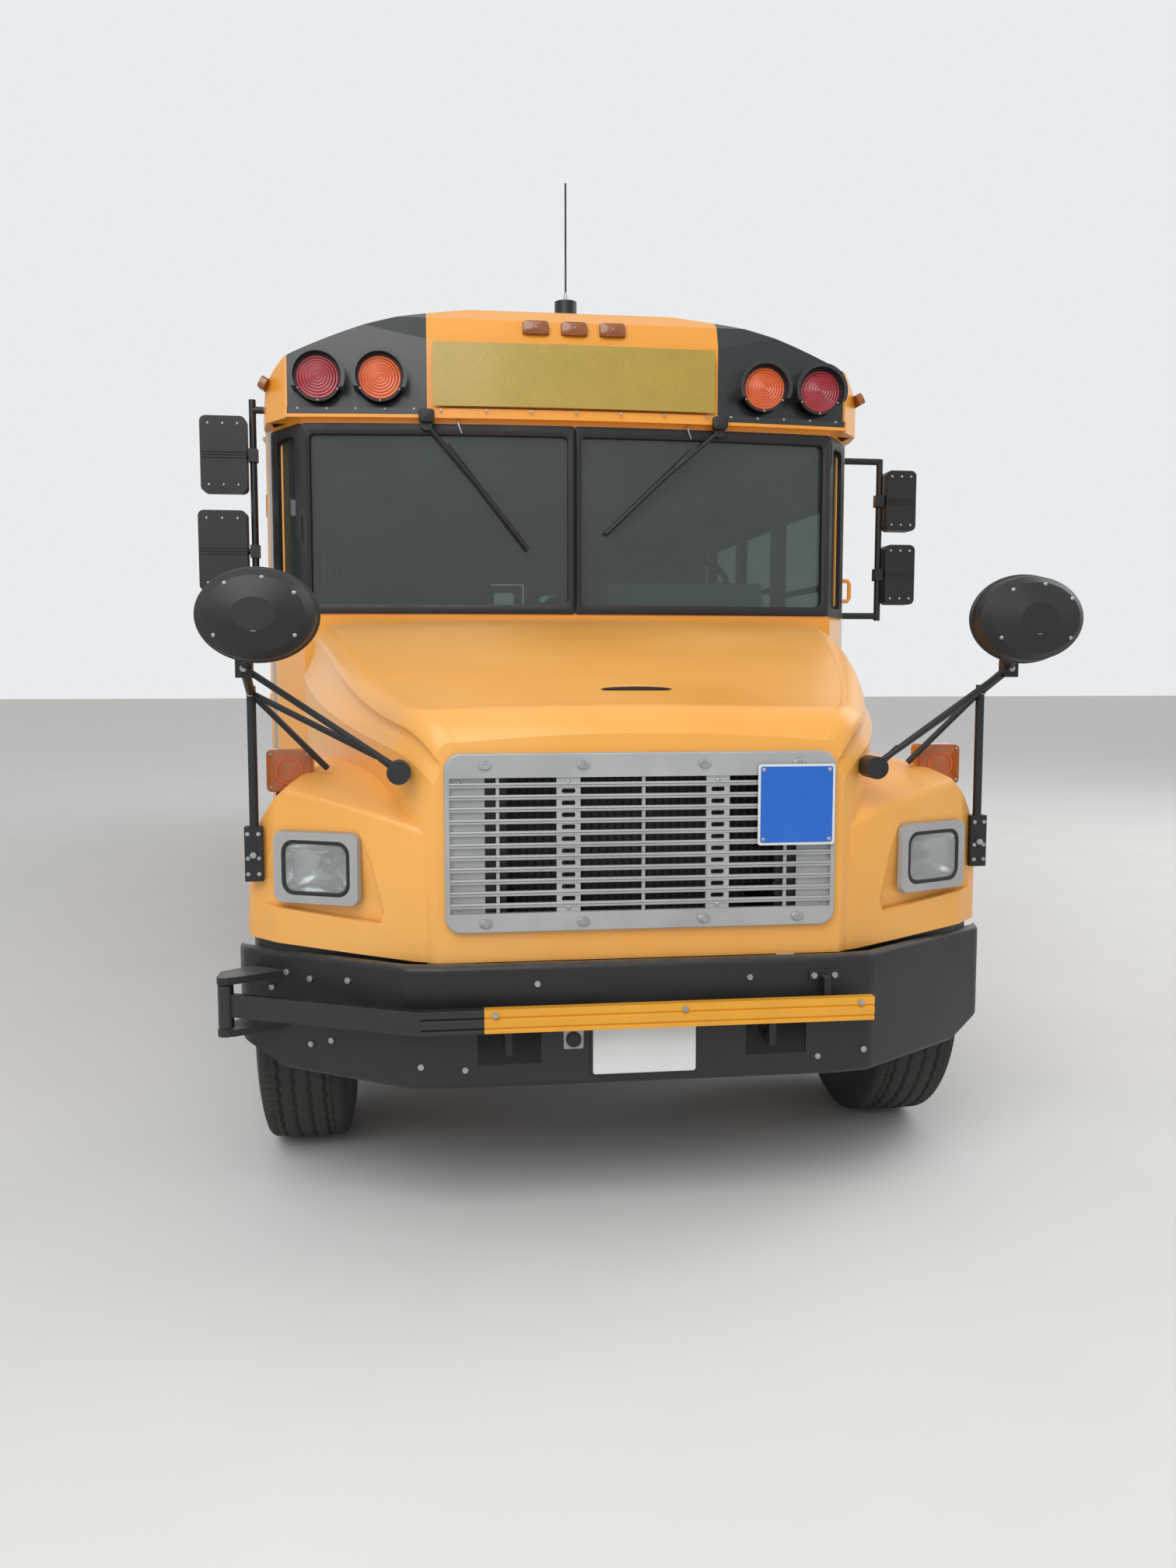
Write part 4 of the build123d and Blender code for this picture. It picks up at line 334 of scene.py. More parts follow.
def coated(name, colours, cell, grain, bump, rough, grime=None, paint=None, **constants):
    """A coat whose colour drifts between two hexes over cells of a size in metres, with grain of a size in
    metres as bump, roughness between two values, grime of a third hex that grows from a height down to a
    lower one, and last a paint, which is a function of the tree, its coordinates and the colour so far."""
    material, tree, shader = finish(name, **constants)
    coordinates = add(tree, "ShaderNodeTexCoord", None).outputs
    where = coordinates["Object"]
    drift = add(tree, "ShaderNodeTexNoise", "Fac", {"Vector": where, "Scale": 1 / cell, "Detail": 5.0})
    ramp = add(tree, "ShaderNodeValToRGB", None, {"Fac": drift})
    for element, position, shade in zip(ramp.color_ramp.elements, (0.25, 0.75), colours):
        element.position, element.color = position, linear(shade)
    colour = ramp.outputs["Color"]
    if grime:
        hexcode, lowest, highest, most = grime
        spots = add(tree, "ShaderNodeTexNoise", "Fac", {"Vector": where, "Scale": 3 / cell, "Detail": 8.0,
                                                        "Roughness": 0.7})
        height = add(tree, "ShaderNodeSeparateXYZ", "Z", {"Vector": where})
        fall = add(tree, "ShaderNodeMapRange", "Result", {"Value": height, "From Min": highest, "From Max": lowest,
                                                          "To Min": 0.0, "To Max": most})
        amount = add(tree, "ShaderNodeMath", 0, {0: fall, 1: spots}, operation="MULTIPLY")
        colour = add(tree, "ShaderNodeMix", "Result", {"Factor": amount, "A": colour, "B": hexcode},
                     data_type="RGBA")
    if paint:
        colour = paint(tree, coordinates, colour)
    fine = add(tree, "ShaderNodeTexNoise", "Fac", {"Vector": where, "Scale": 1 / grain, "Detail": 3.0})
    gloss = add(tree, "ShaderNodeMapRange", "Result", {"Value": drift, "From Min": 0.3, "From Max": 0.7,
                                                       "To Min": rough[0], "To Max": rough[1]})
    wire(tree, shader, colour, fine, bump, 0.6, gloss)
    return material


def body_paint(tree, coordinates, colour):
    """Grey lining in the cabin, black undercoating below the floor, and black lamp hoods on the back."""
    place = add(tree, "ShaderNodeSeparateXYZ", None, {"Vector": coordinates["Object"]}).outputs
    distance = add(tree, "ShaderNodeMath", 0, {0: place["X"]}, operation="ABSOLUTE")
    inside = every(tree, (distance, "LESS_THAN", high("roof").x - 0.03),
                   (place["Y"], "GREATER_THAN", at(1.9)), (place["Y"], "LESS_THAN", at(REAR_WALL - 0.03)))
    below = every(tree, (place["Z"], "LESS_THAN", low("floor").z + 0.1))
    hoods = every(tree, (place["Z"], "GREATER_THAN", 2.450), (place["Y"], "GREATER_THAN", at(REAR_WALL + 0.001)))
    lining = add(tree, "ShaderNodeMix", "Result", {"Factor": below, "A": "#8C8F88", "B": "#1B1C1D"},
                 data_type="RGBA")
    lined = add(tree, "ShaderNodeMix", "Result", {"Factor": inside, "A": colour, "B": lining}, data_type="RGBA")
    return add(tree, "ShaderNodeMix", "Result", {"Factor": hoods, "A": lined, "B": "#15181A"}, data_type="RGBA")


def cap_paint(tree, coordinates, colour):
    """Flat black round the warning lamps: two fields of the cap's face, between two distances from its middle."""
    place = add(tree, "ShaderNodeSeparateXYZ", None, {"Vector": coordinates["Object"]}).outputs
    distance = add(tree, "ShaderNodeMath", 0, {0: place["X"]}, operation="ABSOLUTE")
    black = every(tree, (distance, "GREATER_THAN", 0.570), (distance, "LESS_THAN", 1.100),
                  (place["Z"], "GREATER_THAN", low("front_cap").z + 0.012),
                  (place["Y"], "LESS_THAN", low("front_cap").y + 0.30))
    return add(tree, "ShaderNodeMix", "Result", {"Factor": black, "A": colour, "B": "#1E2326"}, data_type="RGBA")


def flat_dust(tree, coordinates, colour):
    """Road dust that lies in specks on faces that look up."""
    upward = add(tree, "ShaderNodeSeparateXYZ", "Z", {"Vector": coordinates["Normal"]})
    flat = add(tree, "ShaderNodeMapRange", "Result", {"Value": upward, "From Min": 0.55, "From Max": 1.0})
    specks = add(tree, "ShaderNodeTexNoise", "Fac", {"Vector": coordinates["Object"], "Scale": 22.0,
                                                     "Detail": 7.0})
    dust = add(tree, "ShaderNodeMath", 0, {0: flat, 1: specks}, operation="MULTIPLY")
    return add(tree, "ShaderNodeMix", "Result", {"Factor": dust, "A": colour, "B": "#6A635A"}, data_type="RGBA")


def wheel_paint(tree, coordinates, colour):
    """Black on the steering wheel, which is what lies behind and above the dash."""
    place = add(tree, "ShaderNodeSeparateXYZ", None, {"Vector": coordinates["Object"]}).outputs
    behind = every(tree, (place["Y"], "GREATER_THAN", at(2.000)))
    above = every(tree, (place["Z"], "GREATER_THAN", 1.940))
    wheel = add(tree, "ShaderNodeMath", 0, {0: behind, 1: above}, operation="MAXIMUM")
    return add(tree, "ShaderNodeMix", "Result", {"Factor": wheel, "A": colour, "B": "#141516"}, data_type="RGBA")


def gate_root(tree, coordinates, colour):
    """Black on the gate's arm, up to where its yellow bar starts."""
    x = add(tree, "ShaderNodeSeparateXYZ", "X", {"Vector": coordinates["Object"]})
    root = every(tree, (x, "LESS_THAN", -0.450))
    return add(tree, "ShaderNodeMix", "Result", {"Factor": root, "A": colour, "B": "#17191A"}, data_type="RGBA")


def acrylic(name, deep, pale):
    """Moulded acrylic lens: saturated, glossy, a little light passing through it."""
    return coated(name, (deep, pale), 0.06, 0.004, 0.0002, (0.18, 0.3), Subsurface_Weight=0.15,
                  Subsurface_Scale=0.01, Coat_Weight=0.6, Coat_Roughness=0.08)


def sheeting(name, deep, pale, cell=0.006):
    """Retroreflective sheeting: prism cells pressed into film, drawn at a set size, over a flat colour."""
    material, tree, shader = finish(name, Coat_Weight=0.3, Coat_Roughness=0.1)
    where = add(tree, "ShaderNodeTexCoord", "Object")
    cells = add(tree, "ShaderNodeTexVoronoi", "Distance", {"Vector": where, "Scale": 1 / cell},
                feature="DISTANCE_TO_EDGE")
    edge = add(tree, "ShaderNodeMapRange", "Result", {"Value": cells, "From Min": 0.0, "From Max": 0.12,
                                                      "To Min": 0.0, "To Max": 1.0})
    haze = add(tree, "ShaderNodeTexNoise", "Fac", {"Vector": where, "Scale": 9.0, "Detail": 4.0})
    tone = add(tree, "ShaderNodeMix", "Result", {"Factor": haze, "A": deep, "B": pale}, data_type="RGBA")
    lines = add(tree, "ShaderNodeMix", "Result", {"Factor": edge, "A": deep, "B": tone}, data_type="RGBA")
    gloss = add(tree, "ShaderNodeMapRange", "Result", {"Value": haze, "To Min": 0.25, "To Max": 0.42})
    wire(tree, shader, lines, edge, 0.0002, 0.4, gloss)
    return material


def radiator_core(pitch=0.012):
    """Black-painted radiator: fine vertical fins 4 mm apart, drawn at 12 mm to show, grey with dust."""
    material, tree, shader = finish("painted_radiator_fins", Roughness=0.6)
    where = add(tree, "ShaderNodeTexCoord", "Object")
    waves = add(tree, "ShaderNodeTexWave", "Fac", {"Vector": where, "Scale": 0.5 / pitch / 3.14, "Distortion": 0.3},
                bands_direction="X")
    dust = add(tree, "ShaderNodeTexNoise", "Fac", {"Vector": where, "Scale": 4.0, "Detail": 6.0})
    amount = add(tree, "ShaderNodeMath", 0, {0: waves, 1: dust}, operation="MULTIPLY")
    tone = add(tree, "ShaderNodeMix", "Result", {"Factor": amount, "A": "#0C0D0E", "B": "#4A4C4C"},
               data_type="RGBA")
    wire(tree, shader, tone, waves, 0.002, 0.5)
    return material


YELLOWS = ("#EB9B2C", "#F0A333")                # the body's enamel, deep and plain
ROAD_DIRT = "#6E5A3C"

# Gel-coated fibreglass, chalked by sun: a satin skin, paler where it has weathered, soft reflections
hood_yellow = coated("gel_coated_fibreglass_yellow", ("#F0A745", "#F3B25C"), 0.55, 0.004, 0.00015, (0.34, 0.46),
                     ("#8A6A3A", 0.7, 1.1, 0.35), Specular_IOR_Level=0.45, Coat_Weight=0.25, Coat_Roughness=0.22)
# Sprayed enamel on sheet steel: glossier than the hood, with a fine orange peel
steel_yellow = coated("sprayed_enamel_yellow", YELLOWS, 0.8, 0.003, 0.0001, (0.28, 0.38), (ROAD_DIRT, 0.6, 1.3, 0.5),
                      body_paint, Coat_Weight=0.4, Coat_Roughness=0.12)
# The same enamel on the front cap, washed clean
cap_yellow = coated("sprayed_enamel_cap", YELLOWS, 0.6, 0.003, 0.0001, (0.30, 0.40), None, cap_paint,
                    Coat_Weight=0.3, Coat_Roughness=0.15)
# Brushed-on chassis enamel over steel plate: black going grey with road dust, most on flat tops
black = coated("chassis_enamel_black", ("#0B0D0F", "#15181A"), 0.25, 0.0025, 0.0003, (0.36, 0.55),
               ("#4A4640", 0.35, 0.85, 0.28), flat_dust)
# Hot-rolled frame steel under a matt coating, dulled by road dirt from below
chassis = coated("coated_frame_steel", ("#17181A", "#24231F"), 0.18, 0.004, 0.0006, (0.55, 0.80),
                 ("#5B5245", 0.2, 1.1, 0.7))
# Sand-cast steel: coarse grain, dry surface, thin rust low down
cast = coated("sand_cast_steel", ("#2A2826", "#3A342E"), 0.08, 0.003, 0.0008, (0.60, 0.85),
              ("#6A4A32", 0.2, 0.9, 0.5), Metallic=0.3)
# White roof enamel: a faint haze of dust keeps it from a pure white
white = coated("sprayed_enamel_white", ("#CFCFC9", "#E2E2DD"), 0.7, 0.003, 0.0001, (0.30, 0.42),
               Coat_Weight=0.3, Coat_Roughness=0.15)
# Black polypropylene with a moulded leather grain of about 1.5 mm, drawn at 3 mm to show
plastic = coated("grained_polypropylene_black", ("#0F1011", "#191B1C"), 0.15, 0.003, 0.0005, (0.42, 0.58))
# Moulded dash, grey-green and matt so that it does not shine in the glass
dash = coated("grained_dash_moulding", ("#6E7A73", "#7F8B84"), 0.25, 0.003, 0.0005, (0.55, 0.72), None, wheel_paint)
# Silver acrylic paint on moulded plastic: even, faintly dusty low down
silver = coated("silver_acrylic_paint", ("#9FA2A3", "#B4B6B6"), 0.2, 0.0015, 0.0001, (0.36, 0.50),
                ("#7C776C", 0.8, 1.3, 0.35), Metallic=0.25)
# Mill-finish aluminium: soft grey metal, cloudy with handling
metal = coated("mill_finish_aluminium", ("#8E9192", "#A9ABAC"), 0.12, 0.004, 0.0002, (0.35, 0.55), Metallic=0.9)
# Tinted laminated glass: green-grey, clear reflections, a thin film of dust
glass = coated("tinted_safety_glass", ("#8CA09A", "#98AAA4"), 0.5, 0.05, 0.0001, (0.01, 0.03),
               Transmission_Weight=0.92, IOR=1.5)
# Pressed headlamp glass: clear, with a ripple 6 mm wide pressed into it
lens = coated("pressed_clear_glass", ("#D8DCDC", "#E4E6E6"), 0.1, 0.006, 0.0015, (0.02, 0.06),
              Transmission_Weight=0.8, IOR=1.5)
amber = acrylic("acrylic_lens_amber", "#CC4F14", "#DC6220")
red = acrylic("acrylic_lens_red", "#8E1422", "#A61E30")
amber_deep = acrylic("acrylic_lens_amber_dark", "#A8571C", "#B96422")
amber_brown = acrylic("acrylic_lens_amber_brown", "#8A4A18", "#9C5820")
# Expanded vinyl on seat foam: fine leather grain, soft sheen
seat_vinyl = coated("expanded_vinyl_green", ("#233A31", "#34503F"), 0.3, 0.003, 0.0006, (0.42, 0.55),
                    Sheen_Weight=0.15)
# Vulcanised rubber, greyed by dust where it rolls
rubber = coated("vulcanised_rubber", ("#161616", "#242423"), 0.1, 0.003, 0.0006, (0.65, 0.88),
                ("#5A564E", 0.0, 1.1, 0.5))
# Rubber floor matting, dull and scuffed; the aisle's ribs are pieces of their own
matting = coated("ribbed_floor_rubber", ("#1B1C1C", "#262727"), 0.4, 0.003, 0.0003, (0.6, 0.8))
# Retroreflective red sheeting on aluminium: flat, bright, fine bead texture
sheet_red = coated("reflective_sheet_red", ("#A3141B", "#B51C22"), 0.2, 0.003, 0.0001, (0.3, 0.45))
# Extruded rubber: deep black, softly shiny where it is stretched
gasket_rubber = coated("extruded_gasket_rubber", ("#0D0E0F", "#17191A"), 0.12, 0.003, 0.0002, (0.40, 0.58))
# Zinc-plated steel fasteners: bright grey metal, cloudy where the plating has dulled
zinc = coated("zinc_plated_steel", ("#8F9496", "#B9BDBF"), 0.02, 0.002, 0.0002, (0.28, 0.48), Metallic=0.85)
# Vacuum-silvered glass and reflectors: mirror bright, a faint haze
chrome = coated("vacuum_silvered_glass", ("#C9CED0", "#DADEE0"), 0.2, 0.02, 0.00005, (0.03, 0.09), Metallic=1.0)
# Yellow powder coat on the gate's bar, and black steel at its root
gate_yellow = coated("powder_coat_gate", ("#E9A01B", "#F3AC22"), 0.3, 0.003, 0.0002, (0.32, 0.45),
                     (ROAD_DIRT, 0.5, 0.9, 0.4), gate_root, Coat_Weight=0.2, Coat_Roughness=0.2)
sheeting_gold = sheeting("prismatic_sheeting_gold", "#A48C32", "#B9A144", cell=0.010)
sheeting_white = sheeting("prismatic_sheeting_white", "#D2D4D4", "#E4E6E6")
sheeting_blue = sheeting("prismatic_sheeting_blue", "#0A5CBC", "#0E68CC")
fins = radiator_core()

# The solids that each material covers
FINISHES = {
    hood_yellow: ["hood"],
    steel_yellow: ["left_side", "right_side", "cowl", "windshield_frame", "rear_wall", "entry_door_front",
                   "entry_door_rear", "lift_door", "rear_door"],
    cap_yellow: ["front_cap"],
    black: ["front_bumper", "rear_bumper", "rub_rails", "stop_arm_base", "side_mirrors",
            "antenna", "wipers", "window_sashes"],
    chassis: ["frame", "fuel_tank", "seat_frames", "front_rim_left", "front_rim_right", "rear_rims_left",
              "rear_rims_right"],
    cast: ["front_axle", "rear_axle", "engine_block", "knuckle_left", "knuckle_right", "tie_rod"],
    white: ["roof"],
    plastic: ["crossview_mirrors", "turn_signals"],
    dash: ["dashboard"],
    silver: ["grille", "headlamp_bezels"],
    metal: ["exhaust"],
    gate_yellow: ["crossing_gate"],
    fins: ["radiator"],
    glass: ["body_glass", "windshield", "entry_glass_front", "entry_glass_rear", "lift_door_glass",
            "rear_door_glass"],
    lens: ["headlamps"],
    amber: ["small_lamps"],
    red: ["warning_lamps"],
    seat_vinyl: ["seat_cushions", "driver_seat"],
    rubber: ["front_tyre_left", "front_tyre_right", "rear_tyres_left", "rear_tyres_right"],
    matting: ["floor", "entry_steps"],
    sheet_red: ["stop_arm"],
}
for material, names in FINISHES.items():
    for name in names:
        nodes[name].data.materials.clear()
        nodes[name].data.materials.append(material)


# Windshield gaskets


SCREEN_Y = low("windshield_frame").y
SCREEN_BOW, SCREEN_HALF = 0.065, 1.050          # the windshield's bow, and the half width it is bowed over
CORNER_SLOPE = 0.215 / 0.130                    # of the slanted corner panes, seen from above


def on_screen(rings):
    """A closed band on the windshield frame's face, a parabola and then a straight slant to each side: rings
    of X and Z, each lifted along the face's normal."""
    points = []
    for outline, lift in rings:
        x, reach = outline[:, 0], np.abs(outline[:, 0])
        bowed = reach < SCREEN_HALF
        y = np.where(bowed, SCREEN_BOW * (reach / SCREEN_HALF) ** 2,
                     SCREEN_BOW + (reach - SCREEN_HALF) * CORNER_SLOPE)
        slope = np.where(bowed, 2 * SCREEN_BOW * reach / SCREEN_HALF ** 2, CORNER_SLOPE) * np.sign(x)
        normal = np.column_stack([slope, -np.ones_like(slope), np.zeros_like(slope)])
        normal /= np.linalg.norm(normal, axis=1, keepdims=True)
        points.append(np.column_stack([x, SCREEN_Y + y, outline[:, 1]]) + lift * normal)
    return looped(points)


def gaskets():
    """Black rubber round each pane of the windshield, wide enough to hide the posts between them."""
    z0, z1 = low("windshield").z, high("windshield").z
    parts = []
    for side in SIDES:
        for a, b, out_a, out_b in ((0.022, 1.025, 0.0, 1.050), (1.0742, 1.1619, 1.050, 1.185)):
            inner, middle, outer = (outline_at(*box) * (side, 1) for box in (
                (a + 0.004, b - 0.004, z0 + 0.006, z1 - 0.006, 0.020),
                (a - 0.008, b + 0.008, z0 - 0.010, z1 + 0.010, 0.028),
                (out_a, out_b, z0 - 0.030, z1 + 0.034, 0.010)))
            parts.append(on_screen([(inner, -0.016), (inner, 0.004), (middle, 0.009), (outer, 0.005),
                                    (outer, -0.004)]))
    make("windshield_gaskets", joined(*parts), gasket_rubber)


# Front cap and rear wall: warning lamps, sign panel, marker lamps and tail lamps


CAP_Y, CAP_BOW, CAP_KNEE, CAP_LEAN = low("front_cap").y + 0.025, 0.065, 2.775, 0.050 / 0.135
LAMP_Z, REAR_LAMP_Z = 2.665, 2.600


def cap_face(x, z):
    """Y of the cap's face: the farther back of a bow across it and a lean above its knee."""
    return CAP_Y + np.maximum(CAP_BOW * (x / SCREEN_HALF) ** 2, (z - CAP_KNEE) * CAP_LEAN)


def warning_lenses():
    """Eight rippled lenses, the inner ones amber and the outer ones red, in black rings with three screws."""
    rings, screws, circle = [], [], ellipse(1, 1, 48)
    for colour, material, x in (("amber", amber, 0.747), ("red", red, 0.980)):
        spots = [(x, cap_face(x, LAMP_Z) - FACE_Y - 0.012, LAMP_Z), (x, REAR_WALL + 0.002, REAR_LAMP_Z)]
        facing = np.array([FRONT, REAR] * 2)
        spots = mirrored(spots)
        make(f"warning_lenses_{colour}", put(ripple_lens(0.088, 0.016), spots, facing), material,
             replaces="warning_lamps")
        rings.append(put(band(circle * 0.0895, circle * 0.081, 0.014), spots, facing))
        for turn in np.radians([210, 270, 330]):
            shift = 0.0852 * np.array([np.cos(turn), 0, np.sin(turn)])
            screws.append(put(rivet(0.0045, 0.003), spots + shift + facing * 0.014, facing))
    make("warning_lamp_rings", joined(*rings), plastic)
    make("warning_lamp_screws", joined(*screws), zinc)


def sign_panel():
    """The blank sheet that fills the cap's middle, 3 mm ahead of its bow, with the row of small bolts below it."""
    z = np.linspace(2.567, 2.804, 13)
    xs, zs = np.meshgrid(np.linspace(-0.548, 0.548, 45), np.concatenate([z, z[::-1]]), indexing="ij")
    ahead = (np.arange(2 * len(z)) < len(z))[None, :]
    front = CAP_Y + CAP_BOW * (xs / SCREEN_HALF) ** 2 - 0.003
    make("cap_sign_panel", capped(np.stack([xs, np.where(ahead, front, cap_face(xs, zs)), zs], axis=-1)),
         sheeting_gold)
    fit("cap_sign_bolts", bolt(0.006, 0.004),
        [(x, cap_face(x, 2.55) - FACE_Y, 2.552) for x in np.linspace(-0.52, 0.52, 7)])


def marker_lamps():
    """Clearance lamps: three on the cap's brow, three on the rear, one at each front corner, and the tail lamps."""
    places = (-0.15, 0.0, 0.15)
    fit("marker_lenses_amber", pillow(0.104, 0.052, 0.016, 0.040), [(x, 1.632, 2.880) for x in places],
        amber_brown, replaces="small_lamps")
    fit("marker_lenses_red", pillow(0.104, 0.052, 0.016, 0.028), [(x, REAR_WALL - 0.001, 2.845) for x in places],
        red, facing=REAR, replaces="small_lamps")
    make("corner_markers", put(pillow(0.09, 0.046, 0.014, 0.030), mirrored((1.186, 1.76, 2.665)),
                               mirrored((0.88, 0, 0.475)), REAR), amber_brown)
    fit("marker_screws", rivet(0.004, 0.002), [(x, 1.592, 2.880) for x in places])
    for colour, material, radius, z in (("red", red, 0.0905, 1.290), ("amber", amber, 0.0505, 1.480)):
        fit(f"tail_lenses_{colour}", ripple_lens(radius, 0.020), mirrored((0.96, REAR_WALL + 0.001, z)), material,
            facing=REAR)


# Grille fasteners and the blank blue sign


GRILLE, GRILLE_LOW, GRILLE_HIGH = low("grille").y - FACE_Y, low("grille").z, high("grille").z


def grille_fittings():
    """Quarter-turn fasteners on both rails, strap and plate screws, and the sign on four bolts."""
    stud = crowned(ellipse(0.017, 0.012), [(1.0, 0.0), (1.0, 0.004), (0.85, 0.006), (0.5, 0.006), (0.45, 0.003)])
    fit("grille_fasteners", stud, mirrored([(x, GRILLE - 0.001, z) for x in (0.17, 0.44)
                                            for z in (GRILLE_LOW + 0.027, GRILLE_HIGH - 0.033)]), body="hood")
    fit("grille_screws", rivet(0.007, 0.004),
        mirrored([(x, GRILLE + back, z) for x, back in ((0.21, 0.005), (0.51, 0.014))
                  for z in (GRILLE_LOW + 0.066, GRILLE_HIGH - 0.079)]), body="hood")
    x, station, z = 0.4325, GRILLE - 0.006, 1.190
    fit("blue_sign_border", plate(0.222, 0.228, 0.008, 0.002), (x, station, z), sheeting_white, "hood")
    fit("blue_sign_field", plate(0.208, 0.214, 0.006, 0.0012), (x, station - 0.0018, z), sheeting_blue, "hood")
    fit("blue_sign_bolts", rivet(0.006, 0.003),
        [(x + a * 0.095, station - 0.003, z + b * 0.098) for a in SIDES for b in SIDES], body="hood")


# Headlamps: reflector, bulb, fluted lens and black ring, in the lamp's own slanted plane


LAMP_CENTRE, LAMP_SWEEP, LAMP_CORNER = (0.902, 0.193, 1.010), np.radians(24.8), 0.030
# Corners of a recess's back wall, outwards and up from the lamp's middle
RECESS_EDGE = ((-0.130, 0.080), (-0.168, 0.030), (-0.209, -0.113), (-0.203, -0.156), (0.155, -0.124), (0.155, 0.060))


def in_lamps(mesh, lift=0.0, sides=SIDES):
    """A mesh made flat, set in the headlamps' planes, lifted along the direction that they face."""
    sin, cos = np.sin(LAMP_SWEEP), np.cos(LAMP_SWEEP)
    facing = np.array([(side * sin, -cos, 0) for side in sides])
    spots = np.array([LAMP_CENTRE] * len(sides)) * [(side, 1, 1) for side in sides]
    return put(mesh, spots + lift * facing, facing, [(cos, side * sin, 0) for side in sides])


def round_about(outline, turn):
    """Points of an outline at given angles about its middle, found between its corners' angles and radii."""
    edge = np.linspace(0, 1, 40, endpoint=False)[None, :, None]
    outline = np.array(outline, float)
    dense = (outline[:, None] + edge * (np.roll(outline, -1, axis=0) - outline)[:, None]).reshape(-1, 2)
    radius = np.interp(turn, np.arctan2(dense[:, 1], dense[:, 0]), np.hypot(dense[:, 0], dense[:, 1]),
                       period=2 * np.pi)
    return np.column_stack([radius * np.cos(turn), radius * np.sin(turn)])


def lamp_recesses():
    """The recess's back wall: a plate that leans back downwards by 5 degrees, with the lamp's hole in it."""
    turn = np.linspace(-np.pi, np.pi, 96, endpoint=False)
    hole = round_about(outline_at(-0.115, 0.115, -0.085, 0.085, 0.030), turn)
    plates = []
    for side in SIDES:
        outer = round_about(np.array(RECESS_EDGE) * (side, 1), turn)
        rings = [np.column_stack([o, (o[:, 1] - 0.122) * np.sin(np.radians(5)) - back])
                 for o, back in ((outer, 0.006), (outer, 0.001), (hole, 0.001), (hole, 0.006))]
        plates.append(in_lamps(looped(rings), sides=(side,)))
    make("lamp_recess_backs", joined(*plates), hood_yellow, "hood")


def headlamps():
    """A parabolic reflector shell with a bulb, behind a lens whose flutes are (cos of X over 9 mm)."""
    outline = outline_at(-0.100, 0.100, -0.071, 0.071, LAMP_CORNER, 14)
    rows = [(0.995, 0.0), (0.995, -0.060), (0.20, -0.066), (0.18, -0.060), (0.45, -0.055), (0.70, -0.042),
            (0.88, -0.024), (0.975, 0.0)]
    make("headlamp_reflectors", in_lamps(looped(scaled(outline, rows)), 0.004), chrome, "hood", replaces="headlamps")
    bulb = lathe([(0.022, -0.066), (0.022, -0.050), (0.010, -0.045), (0.010, -0.022), (0.006, -0.016)], sides=20)
    make("headlamp_bulbs", in_lamps(bulb, 0.004), zinc, "hood")
    rings = [np.column_stack([outline, np.zeros(len(outline))])]
    for s in np.linspace(1, 0.02, 22):
        flute = 0.0009 * np.cos(2 * np.pi * s * outline[:, 0] / 0.009)
        rings.append(np.column_stack([s * outline, 0.005 + 0.006 * (1 - s ** 3) + flute * (s < 0.97)]))
    make("headlamp_lenses", in_lamps(capped(np.array(rings)), 0.008), lens, "hood", angle=60)
    ring = collar(0.194, 0.136, (0.009, 0.009), (LAMP_CORNER, LAMP_CORNER + 0.006), 0.008, 14)
    make("headlamp_rings", in_lamps(ring, 0.009), plastic, "hood", bevel=0.0015)
    points, faces = rivet(0.005, 0.003)
    heads = [in_lamps((points + (a * 0.118, b * 0.088, 0.0), faces), 0.014) for a in SIDES for b in SIDES]
    make("bezel_screws", joined(*heads), zinc, "hood")


def turn_signals():
    """Amber lenses over the signal boxes, with a raised ring round the bulb and a screw in each corner."""
    x, z, circle = 0.990, 1.273, ellipse(1, 1, 40)
    fit("turn_signal_lenses", pillow(0.134, 0.124, 0.014, 0.072, 0.16), mirrored((x, 0.412, z)), amber_deep, "hood",
        bevel=0.001)
    fit("turn_signal_rings", band(circle * 0.040, circle * 0.034, 0.0035), mirrored((x, 0.342, z)), amber, "hood")
    fit("turn_signal_screws", rivet(0.0045, 0.0035),
        mirrored([(x + a * 0.053, 0.344, z + b * 0.048) for a in SIDES for b in SIDES]), body="hood")


# Bumper: blank plate, heater socket, catch bracket, bolts, splash plate, fender seals and the gate's bolts


